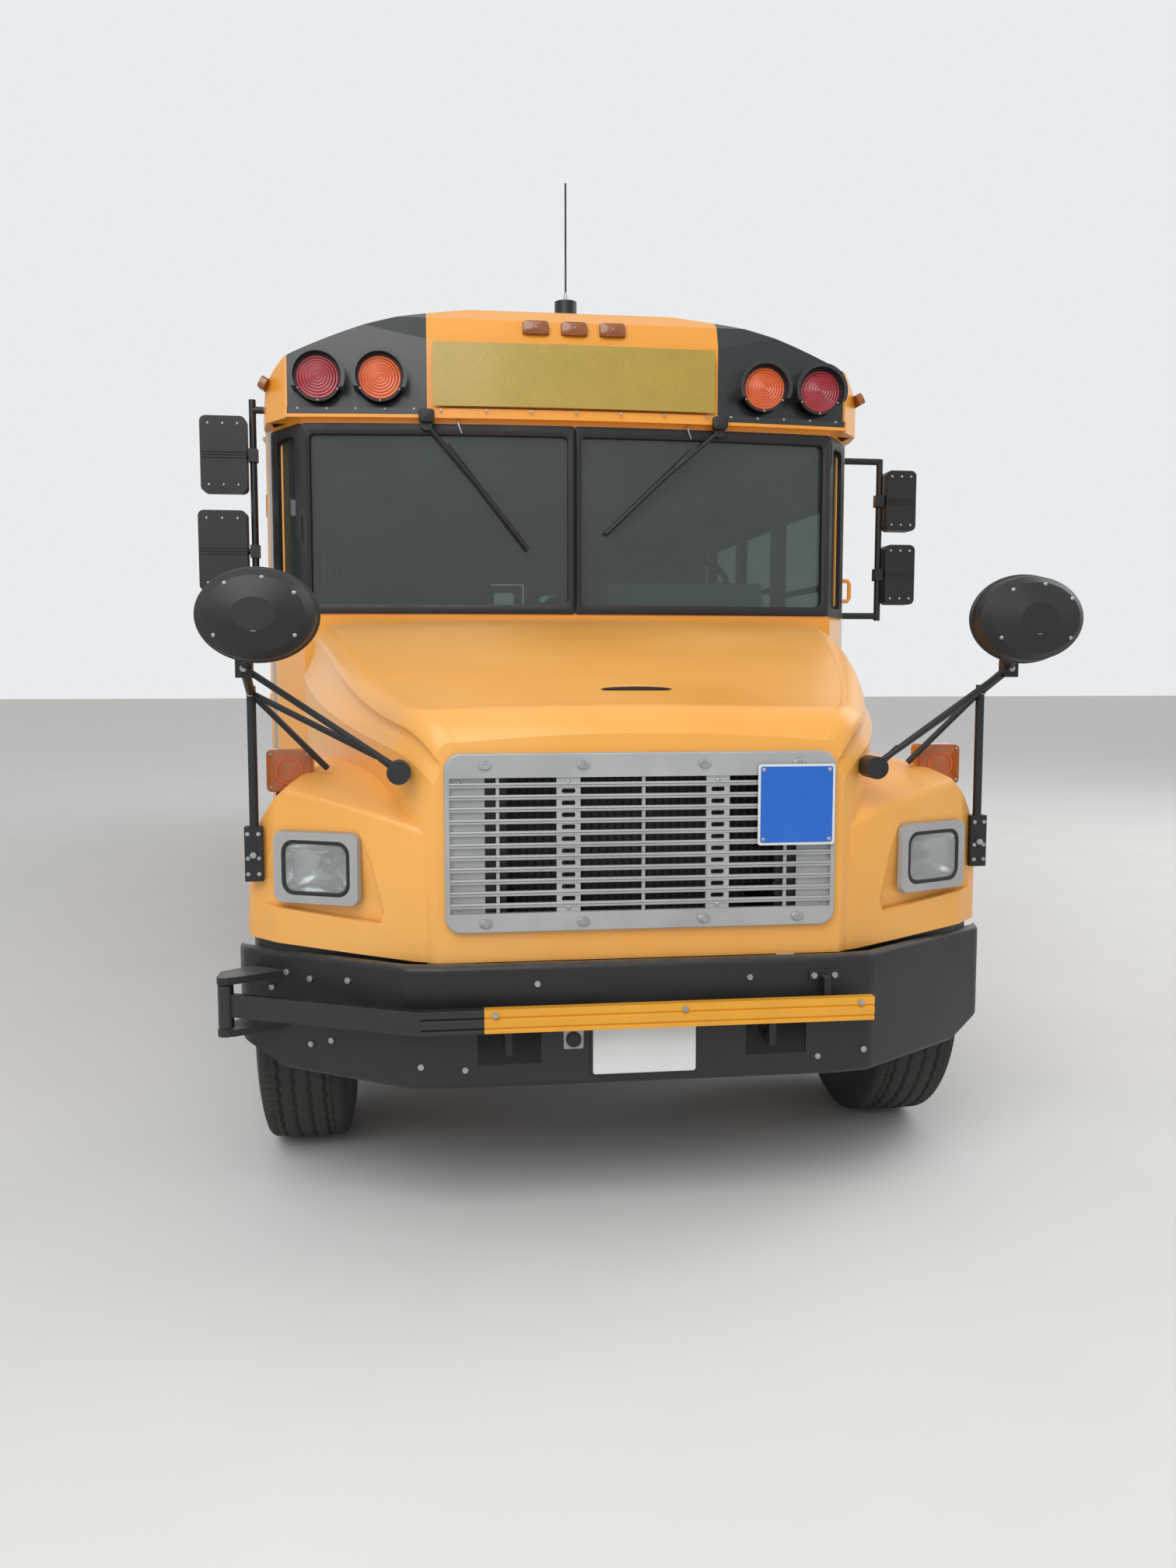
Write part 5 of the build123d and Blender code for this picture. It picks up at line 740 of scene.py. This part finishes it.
def bumper_fittings():
    """The plate on two bolts, a hinged socket cap on a square plate, the catch that holds the gate, a black
    splash plate behind the tow openings, and rubber inside each fender's lower edge that closes the gap above
    the bumper and tilts with the hood."""
    fit("licence_plate", plate(0.3048, 0.1524, 0.012, 0.0015), (0, -0.001, 0.513), sheeting_white, slot="aluminium")
    fit("plate_rim", collar(0.292, 0.140, (0.008, 0.008), (0.008, 0.014), 0.003, 6), (0, -0.001, 0.513), plastic)
    fit("plate_bolts", bolt(0.007, 0.005), mirrored((0.09, -0.003, 0.576)))
    fit("heater_plate", plate(0.056, 0.056, 0.005, 0.003), (-0.20, 0, 0.546), metal, bevel=0.0008)
    fit("heater_cap", lathe([(0.021, 0.0), (0.021, 0.008), (0.018, 0.012), (0.006, 0.0135)]),
        (-0.20, -0.003, 0.546), plastic)
    make("gate_catch", joined(put(plate(0.090, 0.030, 0.004, 0.006), (0.515, 0, 0.705)),
                              put(plate(0.020, 0.050, 0.004, 0.040), (0.515, 0, 0.680))), black, bevel=0.001)
    fit("bumper_bolts", bolt(0.010, 0.007), [(0.485, -0.006, 0.705), (0.545, -0.006, 0.705),
                                             *mirrored([(0.30, 0, 0.705), (0.50, 0, 0.470)])])
    fit("splash_plate", plate(1.24, 0.200, 0.010, 0.004), (0, 0.240, 0.502), gasket_rubber)
    path = np.array(((0.600, 0.086), (0.770, 0.160), (1.010, 0.270), (1.082, 0.338), (1.106, 0.400)))
    back, z = np.array(((0, 0.700), (0.004, 0.700), (0.004, 0.800), (0, 0.800))).T
    x, station = path.T[:, :, None]
    strips = [capped(np.stack([side * x + 0 * back, at(station + back), z + 0 * x], axis=-1)) for side in SIDES]
    make("fender_seals", joined(*strips), gasket_rubber, "hood")
    fit("gate_bolts", bolt(0.009, 0.006),
        [(x, low("crossing_gate").y - FACE_Y, 0.640) for x in (-0.42, 0.10, 0.60)], body="crossing_gate")


# Mirrors and wipers


def crossover_mirrors():
    """Convex oval mirrors: a silvered bowl behind, and a rolled rim, rivets and a curved arm in front."""
    x, station, z = 1.012, -0.163, 1.703
    a = np.linspace(0, 0.46 * np.pi, 9)
    bowl = crowned(ellipse(0.142, 0.108, 64), [(1.0, 0.0)] + [(np.cos(t), 0.036 * np.sin(t)) for t in a])
    fit("crossover_glass", bowl, mirrored((x, station + 0.026, z)), chrome, "hood", REAR)
    t = np.linspace(0, 2 * np.pi, 64, endpoint=False)
    turn = np.linspace(0, 2 * np.pi, 10, endpoint=False)[:, None]
    rim = np.stack([(0.148 + 0.007 * np.cos(turn)) * np.cos(t), (0.113 + 0.007 * np.cos(turn)) * np.sin(t),
                    0.007 * np.sin(turn) + 0 * t], axis=-1)
    fit("crossover_rims", looped(rim), mirrored((x, station + 0.022, z)), plastic, "hood", REAR)
    fit("crossover_rivets", rivet(0.006, 0.006),
        [(side * x + 0.118 * np.cos(b), station - 0.052, z + 0.090 * np.sin(b)) for side in SIDES
         for b in np.radians([35, 80, 125, 215, 325])], body="hood")
    s = np.linspace(0, 1, 12)[:, None]
    arms = []
    for side in SIDES:
        start, middle, end = (np.array([side * x, at(station), z]) for x, station, z in
                              ((1.012, -0.2265, 1.690), (1.014, -0.230, 1.590), (1.020, -0.100, 1.600)))
        arms.append(tube((1 - s) ** 2 * start + 2 * s * (1 - s) * middle + s ** 2 * end, 0.010, 10))
    make("crossover_arms", joined(*arms), black, "hood")
    clamps = ((1.075, 0.055, 1.570), (1.085, 0.262, 1.500), (1.087, 0.260, 1.040))
    make("crossover_clamps", joined(put(bolt(0.013, 0.009), mirrored((1.012, -0.2285, 1.670))),
                                    put(bolt(0.011, 0.010), mirrored(clamps))), zinc, "hood")
    fit("crossover_foot_bolts", bolt(0.007, 0.005),
        mirrored([(x, 0.262, z) for x in (1.072, 1.102) for z in (0.985, 1.030, 1.100)]), body="hood")


def flat_mirrors():
    """Silvered plates in the four square heads, three rivets above and below on each head's front."""
    plates, studs = [], []
    for x0, x1, z0, z1, station in ((-1.465, -1.285, 2.270, 2.570, 1.880), (-1.480, -1.290, 1.880, 2.200, 1.880),
                                    (1.422, 1.556, 2.170, 2.430, 2.000), (1.422, 1.556, 1.850, 2.110, 2.000)):
        x, z, width, height = (x0 + x1) / 2, (z0 + z1) / 2, x1 - x0, z1 - z0
        plates.append(put(plate(width - 0.018, height - 0.018, 0.015, 0.0025), (x, station + 0.065, z), REAR))
        studs += [(x + a * width, station, z + b * height) for a in (-0.32, 0.0, 0.32) for b in (-0.40, 0.40)]
    make("flat_mirror_glass", joined(*plates), chrome)
    fit("flat_mirror_rivets", rivet(0.006, 0.004), studs)


def wiper_blades():
    """Rubber blades under the wiper arms: a thin wedge along each arm, and a stout arm root at the pivot."""
    blades = []
    for pivot_x, tip_x, tip_z in ((-0.573, -0.185, 2.030), (0.573, 0.122, 2.095)):
        tip, pivot = np.array([tip_x, 1.588, tip_z]), np.array([pivot_x, 1.588, 2.524])
        start = (4 * pivot + tip) / 5
        length = np.linalg.norm(tip - start)
        blade = slab([(0, -0.005), (length, -0.005), (length, 0.005), (0, 0.005)], 0.014)
        blades.append(put(blade, start, REAR, tip - start))
    make("wiper_blades", joined(*blades), gasket_rubber)
    fit("wiper_roots", pillow(0.060, 0.050, 0.012, 0.030), mirrored((0.573, 1.584, 2.530)), plastic)


# Tyres and hubs


TYRE_RADIUS, TREAD_HALF, TREAD_DEPTH, ZIGS = 0.510, 0.108, 0.009, 60
TYRE_SIDE = np.array((                          # X and radius from the bead out to the tread
    (0.1155, 0.2875), (0.1260, 0.3060), (0.1340, 0.3400), (0.1370, 0.3700), (0.1375, 0.4050), (0.1360, 0.4380),
    (0.1372, 0.4420), (0.1372, 0.4470), (0.1350, 0.4510), (0.1300, 0.4760), (0.1230, 0.4950), (0.1180, 0.5015),
    (0.1120, 0.5050)))
FRONT_AXLE, REAR_AXLE = 0.920, 6.432


def tyre(x_middle, station):
    """A closed ring: a profile of X and radius going once round the axis. The tread's radius drops in four
    zigzag grooves, where X is near a groove's middle plus 4 mm times a triangle wave of the angle, and in
    cross cuts along both shoulders."""
    turn = np.linspace(0, 2 * np.pi, 4 * ZIGS, endpoint=False)[None, :]
    tread_x = np.linspace(TREAD_HALF, -TREAD_HALF, 55)
    tread = np.column_stack([tread_x, TYRE_RADIUS - 0.003 * (np.abs(tread_x) / TREAD_HALF) ** 2.5])
    profile = np.concatenate([TYRE_SIDE, tread, TYRE_SIDE[::-1] * (-1, 1), [(0, TYRE_SIDE[0, 1])]])
    x, radius = profile[:, :1], profile[:, 1:]
    wave = 2 * np.abs((turn * ZIGS / (2 * np.pi)) % 1.0 - 0.5) * 2 - 1
    cut = 0.8 * ((np.abs(x) > 0.086) & (radius > 0.49) & (np.abs(wave) > 0.86))
    for middle in (-0.069, -0.024, 0.024, 0.069):
        cut = np.maximum(cut, np.clip(1.6 - np.abs(x - middle - 0.004 * wave) / 0.0035, 0, 1))
    reach = radius - TREAD_DEPTH * cut * (radius > 0.495)
    return looped(np.stack([x_middle + x + 0 * turn, at(station) + reach * np.cos(turn),
                            TYRE_RADIUS + reach * np.sin(turn)], axis=-1))


def tyres_and_hubs():
    """Treaded tyres, a hub cap with its bolts on each wheel, and an air valve through each rim."""
    cap = lathe([(0.075, -0.004), (0.075, 0.006), (0.066, 0.012), (0.052, 0.030), (0.020, 0.034)], sides=40)
    for prefix, station, middles, hub, body, node in (
            ("", FRONT_AXLE, (0.985,), 1.110, "front_wheel", "front_tyre"),
            ("rear_", REAR_AXLE, (0.735, 1.055), 1.060, "rear_wheels", "rear_tyres")):
        for side, hand in ((1, "left"), (-1, "right")):
            name, on = f"{prefix}{hand}", f"{body}_{hand}"
            make(f"tyre_{name}", joined(*[tyre(side * x, station) for x in middles]), rubber, on,
                 replaces=f"{node}_{hand}")
            make(f"hub_cap_{name}", beside(cap, (side * hub, station, TYRE_RADIUS), side), cast, on)
            spots = np.column_stack([np.full(8, side * hub), ellipse(0.090, 0.090, 8) + (station, TYRE_RADIUS)])
            make(f"hub_bolts_{name}", beside(bolt(0.008, 0.006), spots, side), zinc, on)
            path = [(side * (middles[-1] + out), at(station) + y, TYRE_RADIUS)
                    for out, y in ((0.035, 0.255), (0.080, 0.249), (0.120, 0.245))]
            make(f"valve_{name}", tube(path, [0.006, 0.0045, 0.0045], 10), zinc, on)


# Body sides, roof, rear and doors


WINDOW_START, WINDOW_PITCH, WINDOWS = 2.925, 0.711, 9
PILLARS = WINDOW_START + WINDOW_PITCH * np.arange(WINDOWS + 1)
LIFT_BAYS, LIFT_SHIFTS = (6, 7), {6: -0.045, 8: 0.045}      # window bays of the lift door; how its pillars shift
LIFT_START, LIFT_END, ARCH_HALF = 7.28, 8.52, 0.66


def side_dressing():
    """Pillar covers between the windows, rivets along the sill and header, side markers and skirt hatches."""
    pieces = {key: [] for key in ("covers", "rivets", "amber", "red", "hatches", "latches")}
    stud, marker = lathe([(0.0045, 0.0), (0.0035, 0.0018), (0.001, 0.0026)], 8), pillow(0.100, 0.040, 0.014, 0.014)
    for side in SIDES:
        rows = [(station, z) for z in (1.655, 2.440, 2.480, 1.240, 0.860) for station in np.arange(2.98, 9.33, 0.09)
                if not (side < 0 and LIFT_START < station < LIFT_END)
                and not (z < 1.2 and abs(station - REAR_AXLE) < ARCH_HALF)]
        pillars = [(station + (LIFT_SHIFTS.get(k, 0) if side < 0 else 0), 1.975)
                   for k, station in enumerate(PILLARS) if side > 0 or k != 7]
        doors = ((3.60, 0.60, 0.19), (4.60, 0.90, 0.19)) if side > 0 else ((3.45, 0.24, 0.16),)
        for key, form, out, spots in (
                ("covers", plate(0.040, 0.700, 0.004, 0.0025), 0, pillars), ("rivets", stud, 0, rows),
                ("amber", marker, 0, ((6.10, 2.462), (3.05, 1.505))), ("red", marker, 0, ((9.22, 2.462),)),
                *[("hatches", plate(width, height, 0.012, 0.0035), 0, ((s, 0.855),)) for s, width, height in doors],
                ("latches", pillow(0.045, 0.028, 0.008, 0.010), 0.0035, [(door[0], 0.910) for door in doors])):
            pieces[key].append(beside(form, [(side * (SIDE_X + out), s, z) for s, z in spots], side))
    for name, key, material, bevel in (
            ("pillar_covers", "covers", steel_yellow, 0.0008), ("body_rivets", "rivets", steel_yellow, 0),
            ("side_markers_amber", "amber", amber, 0), ("side_markers_red", "red", red, 0),
            ("skirt_hatches", "hatches", steel_yellow, 0.001), ("skirt_latches", "latches", zinc, 0)):
        make(name, joined(*pieces[key]), material, bevel=bevel)


def roof_outline(crown=2.643, corner=0.240, top=3.000):
    """X, Z and outward normal across the roof: a wide crown arc between two small shoulder arcs."""
    half, centre = SIDE_X, top - crown
    lean = np.arcsin((half - corner) / (crown - corner))
    a = np.linspace(-lean, lean, 41)
    arc = np.column_stack([crown * np.sin(a), centre + crown * np.cos(a), np.sin(a), np.cos(a)])
    b = np.linspace(lean, np.pi / 2, 12)[1:]
    right = np.column_stack([half - corner + corner * np.sin(b),
                             centre + (crown - corner) * np.cos(lean) + corner * np.cos(b), np.sin(b), np.cos(b)])
    return np.concatenate([right[::-1] * (-1, 1, -1, 1), arc, right])


def roof_dressing():
    """Roof bow seams over each window pillar, two escape hatches, and the ferrule of the aerial."""
    s, h = np.array(((-0.016, 0.0), (-0.014, 0.0030), (0.014, 0.0030), (0.016, 0.0))).T
    x, z, n, m = roof_outline().T[:, :, None]
    seams = [capped(np.stack([x + n * h, at(station + s) + 0 * x, z + m * h], axis=-1)) for station in PILLARS]
    make("roof_seams", joined(*seams), white)
    stations = (4.70, 7.55)
    fit("roof_hatches", pillow(0.60, 0.60, 0.07, 0.050, 0.5), [(0, s, 2.995) for s in stations], white, facing=UP)
    fit("roof_hatch_rims", collar(0.60, 0.60, (0.04, 0.04), (0.07, 0.08), 0.022, 8),
        [(0, s, 2.984) for s in stations], plastic, facing=UP, bevel=0.002)
    fit("aerial_ferrule", lathe([(0.0075, 0.0), (0.0075, 0.030), (0.004, 0.040)], 16), (0, 1.900, 3.060), facing=UP)


def rear_dressing():
    """Rubber round the rear windows and the door's panes, the blank plate, two reflectors, flaps and a tip."""
    fit("rear_window_gaskets", collar(0.464, 0.644, (0.030, 0.030), (0.035, 0.055), 0.008),
        mirrored((0.830, REAR_WALL - 0.001, 1.970)), gasket_rubber, facing=REAR)
    panes = [put(collar(0.670, height, (0.027, 0.026), (0.020, 0.035), 0.006), (0, REAR_WALL - 0.001, z), REAR)
             for height, z in ((0.402, 1.335), (0.672, 1.980))]
    make("rear_door_gaskets", joined(*panes), gasket_rubber, "rear_door")
    fit("rear_plate", plate(0.3048, 0.1524, 0.012, 0.0015), (0.80, REAR_WALL + 0.001, 1.060), sheeting_white,
        facing=REAR, slot="aluminium")
    fit("rear_reflectors", pillow(0.076, 0.076, 0.036, 0.010), mirrored((1.10, REAR_WALL + 0.001, 1.06)), red,
        facing=REAR)
    fit("mud_flaps", plate(0.56, 0.44, 0.02, 0.008), mirrored((0.895, REAR_AXLE + 0.72, 0.430)), rubber,
        slot="floor_rubber", bevel=0.002)
    fit("exhaust_mouth", lathe([(0.039, 0.0), (0.0385, 0.0008)]), (0.515, high("exhaust").y - FACE_Y, 0.490),
        gasket_rubber, facing=REAR)


def stop_sign():
    """A blank octagon: white border band and a red lamp above and below the middle, on both faces."""
    apothem, eighth = 0.2285, np.radians(22.5 + 45 * np.arange(8))
    octagon = np.column_stack([np.cos(eighth), np.sin(eighth)]) * apothem / np.cos(np.pi / 8)
    station, z = 2.950 + apothem, 1.440
    borders, lamps = [], []
    for side, x in ((1, high("stop_arm").x), (-1, high("stop_arm").x - 0.010)):
        borders.append(beside(band(octagon * 0.985, octagon * 0.920, 0.0015), (x, station, z), side))
        lamps.append(beside(ripple_lens(0.042, 0.008), [(x, station, z + dz) for dz in (-0.150, 0.150)], side))
    make("stop_sign_border", joined(*borders), sheeting_white, "stop_arm")
    make("stop_sign_lamps", joined(*lamps), red, "stop_arm")


def entry_gasket(station, z, width, height, reach, corners):
    """A rubber band round a pane on the entry side, its inner edge sunk 10 mm into the opening."""
    return beside(collar(width, height, reach, corners, 0.005, foot=-0.010), (-TRIM_X, station, z), -1)


def handle(side, path, radius, sides):
    """A bar along points of distance from the side, station and Z."""
    return tube([(side * (TRIM_X + out), at(station), z) for out, station, z in path], radius, sides)


def door_dressing():
    """Rubber edges where the entry leaves meet, gaskets round their panes, the lift door's handle and gasket,
    and the driver's grab handle."""
    for name, middle, meeting in (("front", 2.279, 2.455), ("rear", 2.661, 2.485)):
        parts = [entry_gasket(middle, z, 0.252, height, (0.018, 0.019), (0.020, 0.030))
                 for z, height in ((0.975, 0.824), (1.892, 0.878))]
        parts.append(beside(plate(0.020, 1.900, 0.004, 0.006), (-TRIM_X, meeting, 1.417), -1))
        make(f"entry_seals_{name}", joined(*parts), gasket_rubber, f"entry_door_{name}")
    make("lift_door_handle", handle(-1, [(0, 8.38, 1.40), (0.026, 8.38, 1.40), (0.031, 8.38, 1.41),
                                         (0.031, 8.38, 1.53), (0.026, 8.38, 1.54), (0, 8.38, 1.54)], 0.007, 10),
         zinc, "lift_door")
    make("lift_door_gasket", entry_gasket(7.900, 1.970, 0.620, 0.612, (0.026, 0.026), (0.020, 0.035)),
         gasket_rubber, "lift_door")
    make("driver_grab_handle", handle(1, [(0, 1.985, 1.86), (0.026, 1.980, 1.862), (0.033, 1.980, 1.875),
                                          (0.033, 1.980, 1.935), (0.026, 1.980, 1.948), (0, 1.985, 1.95)], 0.009, 12),
         steel_yellow)


# Seats and cabin


def stuffed(half, corner, crown):
    """A stuffed block over a round-cornered outline: row shares t and heights w with t^6.25 + w^6.25 = 1, the
    sides drawn in between the corners by 8 mm (1 - v^2), and the top lifted by crown (1 - u^2)(1 - v^2)."""
    outline = outline_at(-half[0], half[0], -half[1], half[1], corner, 9)
    inner = np.linspace(0.04, 0.97, 10)
    rise = np.array([0.60, 0.40, 0.20, 0.07])
    share = np.concatenate([inner, (1 - rise ** 6.25) ** 0.16, [1.0]])
    height = np.concatenate([(1 - inner ** 6.25) ** 0.16, rise, [0.0]])
    t = np.concatenate([share, share[-2::-1]])[:, None]
    w = np.concatenate([-height, height[-2::-1]])[:, None]
    u, v = outline[None, :, 0] / half[0], outline[None, :, 1] / half[1]
    seam = 1 - 0.010 * np.exp(-(w / 0.12) ** 2)
    x, y = ((half[k] * p - 0.008 * np.sign(p) * (np.abs(p) > 0.95) * (1 - q ** 2)) * t * seam
            for k, p, q in ((0, u, v), (1, v, u)))
    lift = crown * (1 - np.clip(t * u, -1, 1) ** 2) * (1 - np.clip(t * v, -1, 1) ** 2)
    return capped(np.stack([x, y, half[2] * w + lift * (w > 0) - 0.3 * lift * (w < 0)], axis=-1))


def piping(half, corner, height, radius=0.005):
    """Welt piping: a thin round cord whose middle follows the block's outline at a height."""
    outline = outline_at(-half[0], half[0], -half[1], half[1], corner, 9)
    along = np.roll(outline, -1, axis=0) - np.roll(outline, 1, axis=0)
    outward = np.column_stack([along[:, 1], -along[:, 0]])
    outward /= np.linalg.norm(outward, axis=1, keepdims=True)
    t = np.linspace(0, 2 * np.pi, 6, endpoint=False)[:, None]
    x, y = (outline[:, k] * 0.985 + radius * np.cos(t) * outward[:, k] for k in (0, 1))
    return looped(np.stack([x, y, height + radius * np.sin(t) + 0 * x], axis=-1))


def leaning(degrees):
    """The way that a seat back's front looks: ahead, and up by its lean."""
    return (0, -np.cos(np.radians(degrees)), np.sin(np.radians(degrees)))


def seats():
    """Sixteen benches, each a cushion and a back of one vinyl, with welt piping, and the driver's seat."""
    benches = [(side * 0.682, WINDOW_START + WINDOW_PITCH * (k + 0.5) + 0.260) for side in SIDES
               for k in range(WINDOWS) if side > 0 or k not in LIFT_BAYS]
    cushion = joined(stuffed((0.478, 0.208, 0.056), 0.050, 0.012), piping((0.478, 0.208), 0.050, 0.034))
    rest = joined(stuffed((0.478, 0.322, 0.040), 0.060, 0.010), piping((0.478, 0.322), 0.060, 0.024))
    driver = joined(put(stuffed((0.248, 0.213, 0.053), 0.060, 0.014), (0.560, 2.505, 1.537), UP),
                    put(stuffed((0.246, 0.345, 0.048), 0.090, 0.012), (0.560, 2.790, 1.850), leaning(7)))
    for name, mesh, node in (
            ("bench_cushions", put(cushion, [(x, s - 0.306, 1.446) for x, s in benches], UP), "seat_cushions"),
            ("bench_backs", put(rest, [(x, s - 0.020, 1.716) for x, s in benches], leaning(3.5)), "seat_cushions"),
            ("driver_cushions", driver, "driver_seat")):
        make(name, mesh, seat_vinyl, angle=80, replaces=node)
    make("driver_seat_base", joined(put(plate(0.46, 0.50, 0.03, 0.031), (0.560, 2.560, 1.447), UP),
                                    put(plate(0.32, 0.31, 0.04, 0.390), (0.560, 2.535, 1.060), UP)), plastic,
         bevel=0.004)


def cabin_details():
    """An aisle of ribs and the ceiling lamps."""
    rib = slab([(-0.0025, 3.0), (0.0025, 3.0), (0.0025, 9.2), (-0.0025, 9.2)], 0.0035)
    fit("aisle_ribs", rib, [(x, 0, 1.059) for x in np.arange(-0.160, 0.165, 0.020)], matting, facing=UP)
    make("ceiling_lamps", put(pillow(0.12, 0.20, 0.03, 0.022), [(0, s, 2.955) for s in (3.5, 5.2, 6.9, 8.6)],
                              (0, 0, -1), REAR), lens, slot="lamp_lens")


# Fittings that are set where a ray meets a solid's face


def struck(node, start, direction):
    """Point and outward normal where a ray from a start meets a node's face."""
    hit, point, normal, _ = nodes[node].ray_cast(start, direction)
    if not hit:
        raise ValueError(f"no face of {node} from {start}")
    return np.array(point), np.array(normal)


def front_details():
    """Bolts of the gate's hinge plates, cap screws, the hood slit's lip and shadow, baffles and washer jets."""
    hinge_spots = ((-1.045, 0.650), (-1.000, 0.700), (-0.930, 0.690), (-0.870, 0.520), (-0.930, 0.500),
                   (-0.820, 0.700), (-0.620, 0.480), (0.640, 0.480))
    cap_spots = [(side * x, 2.556) for side in SIDES for x in np.linspace(0.62, 1.06, 5)]
    for name, head, node, spots, start_y in (
            ("hinge_plate_bolts", bolt(0.010, 0.007), "front_bumper", hinge_spots, FACE_Y - 1.0),
            ("cap_screws", rivet(0.0055, 0.003), "front_cap", cap_spots, FACE_Y)):
        origins, normals = zip(*[struck(node, (x, start_y, z), REAR) for x, z in spots])
        make(name, repeated(head, origins, LEFT, normals), zinc)
    line = np.linspace(-0.080, 0.130, 12)
    lip = np.array([struck("hood", (x, at(0.312), 2.2), (0, 0, -1))[0] for x in line]) + (0, 0, 0.001)
    ends = np.sqrt(np.clip(1 - ((line - 0.025) / 0.106) ** 2, 0.02, 1))
    make("scoop_lip", tube(lip, 0.011 * ends + 0.001, 12), hood_yellow, "hood")
    make("scoop_shadow", tube(lip + (0, -0.011, 0), 0.0065 * ends + 0.0005, 10), gasket_rubber, "hood")
    fit("grille_baffles", plate(0.135, 0.425, 0.006, 0.004), mirrored((0.448, 0.049, 1.0925)), plastic, "hood")
    jets = [tube([(x, at(1.598), 2.524), (x, at(1.590), 2.500), (x + 0.012, at(1.592), 2.470)],
                 [0.005, 0.004, 0.003], 10) for x in (-0.450, 0.450)]
    make("washer_jets", joined(*jets), zinc)


for build in (gaskets, warning_lenses, sign_panel, marker_lamps, grille_fittings, lamp_recesses, headlamps,
              turn_signals, bumper_fittings, crossover_mirrors, flat_mirrors, wiper_blades, tyres_and_hubs,
              side_dressing, roof_dressing, rear_dressing, stop_sign, door_dressing, seats, front_details,
              cabin_details):
    build()


# Floor, light and camera


PHOTO_HEIGHT, FOCAL_PIXELS = 2016, 1635.7
EYE, EYE_YAW, EYE_PITCH = (-0.614, at(-3.428), 1.5706), 7.553, 5.203      # degrees to the left side, and downwards


def shown(name, data):
    """An object of some data, put in the scene."""
    holder = bpy.data.objects.new(name, data)
    bpy.context.scene.collection.objects.link(holder)
    return holder


def studio():
    """A pale floor and a pale surround, one broad soft lamp ahead and above, and even light from all round."""
    line = np.linspace(-60, 60, 3)
    verts, faces = grid(np.stack(np.meshgrid(line, line, [0.0], indexing="ij"), axis=-1)[:, :, 0])
    data = bpy.data.meshes.new("floor_plane")
    data.from_pydata(verts.tolist(), [], faces[0].tolist())
    material, tree, shader = finish("pale_floor", Roughness=0.9)
    where = add(tree, "ShaderNodeTexCoord", "Object")
    cloud = add(tree, "ShaderNodeTexNoise", "Fac", {"Vector": where, "Scale": 1.5, "Detail": 4.0})
    tone = add(tree, "ShaderNodeMix", "Result", {"Factor": cloud, "A": "#D9D9D7", "B": "#E1E1DF"}, data_type="RGBA")
    tree.links.new(tone, shader.inputs["Base Color"])
    data.materials.append(material)
    shown("floor_plane", data)

    world = bpy.data.worlds.new("surround")
    world.use_nodes = True
    bpy.context.scene.world = world
    tree = world.node_tree
    tree.nodes.clear()
    rays = add(tree, "ShaderNodeLightPath", None).outputs
    seen = rays["Is Camera Ray"]
    for kind in ("Is Glossy Ray", "Is Transmission Ray"):
        seen = add(tree, "ShaderNodeMath", 0, {0: seen, 1: rays[kind]}, operation="MAXIMUM")
    light = add(tree, "ShaderNodeBackground", 0, {"Color": "#FFFFFF", "Strength": 0.62})
    backdrop = add(tree, "ShaderNodeBackground", 0, {"Color": "#E9ECEF", "Strength": 1.0})
    either = add(tree, "ShaderNodeMixShader", 0, {0: seen, 1: light, 2: backdrop})
    add(tree, "ShaderNodeOutputWorld", None, {"Surface": either})

    for name, spot, aim, size, power in (("front_panel", (-3.0, at(-6.0), 7.5), (0, at(1.5), 1.4), 7.0, 520),
                                         ("side_panel", (9.0, 0.0, 8.0), (0, 0, 1.5), 8.0, 420)):
        lamp = bpy.data.lights.new(name, "AREA")
        lamp.energy, lamp.size = power, size
        holder = shown(name, lamp)
        holder.location = spot
        from_aim = np.array(spot) - np.array(aim)
        holder.rotation_euler = mathutils.Vector(from_aim).to_track_quat("Z", "Y").to_euler()


def photographer():
    """Camera at the photo's viewpoint: found from the plate, the lamps and the body's width."""
    camera = bpy.data.cameras.new("camera")
    camera.sensor_width = 36.0
    camera.lens = FOCAL_PIXELS / PHOTO_HEIGHT * camera.sensor_width
    camera.clip_end = 200.0
    holder = shown("camera", camera)
    holder.location = EYE
    holder.rotation_euler = (np.radians(90 - EYE_PITCH), 0.0, np.radians(-EYE_YAW))
    bpy.context.scene.camera = holder


studio()
photographer()
bpy.context.scene.view_settings.view_transform = "Standard"
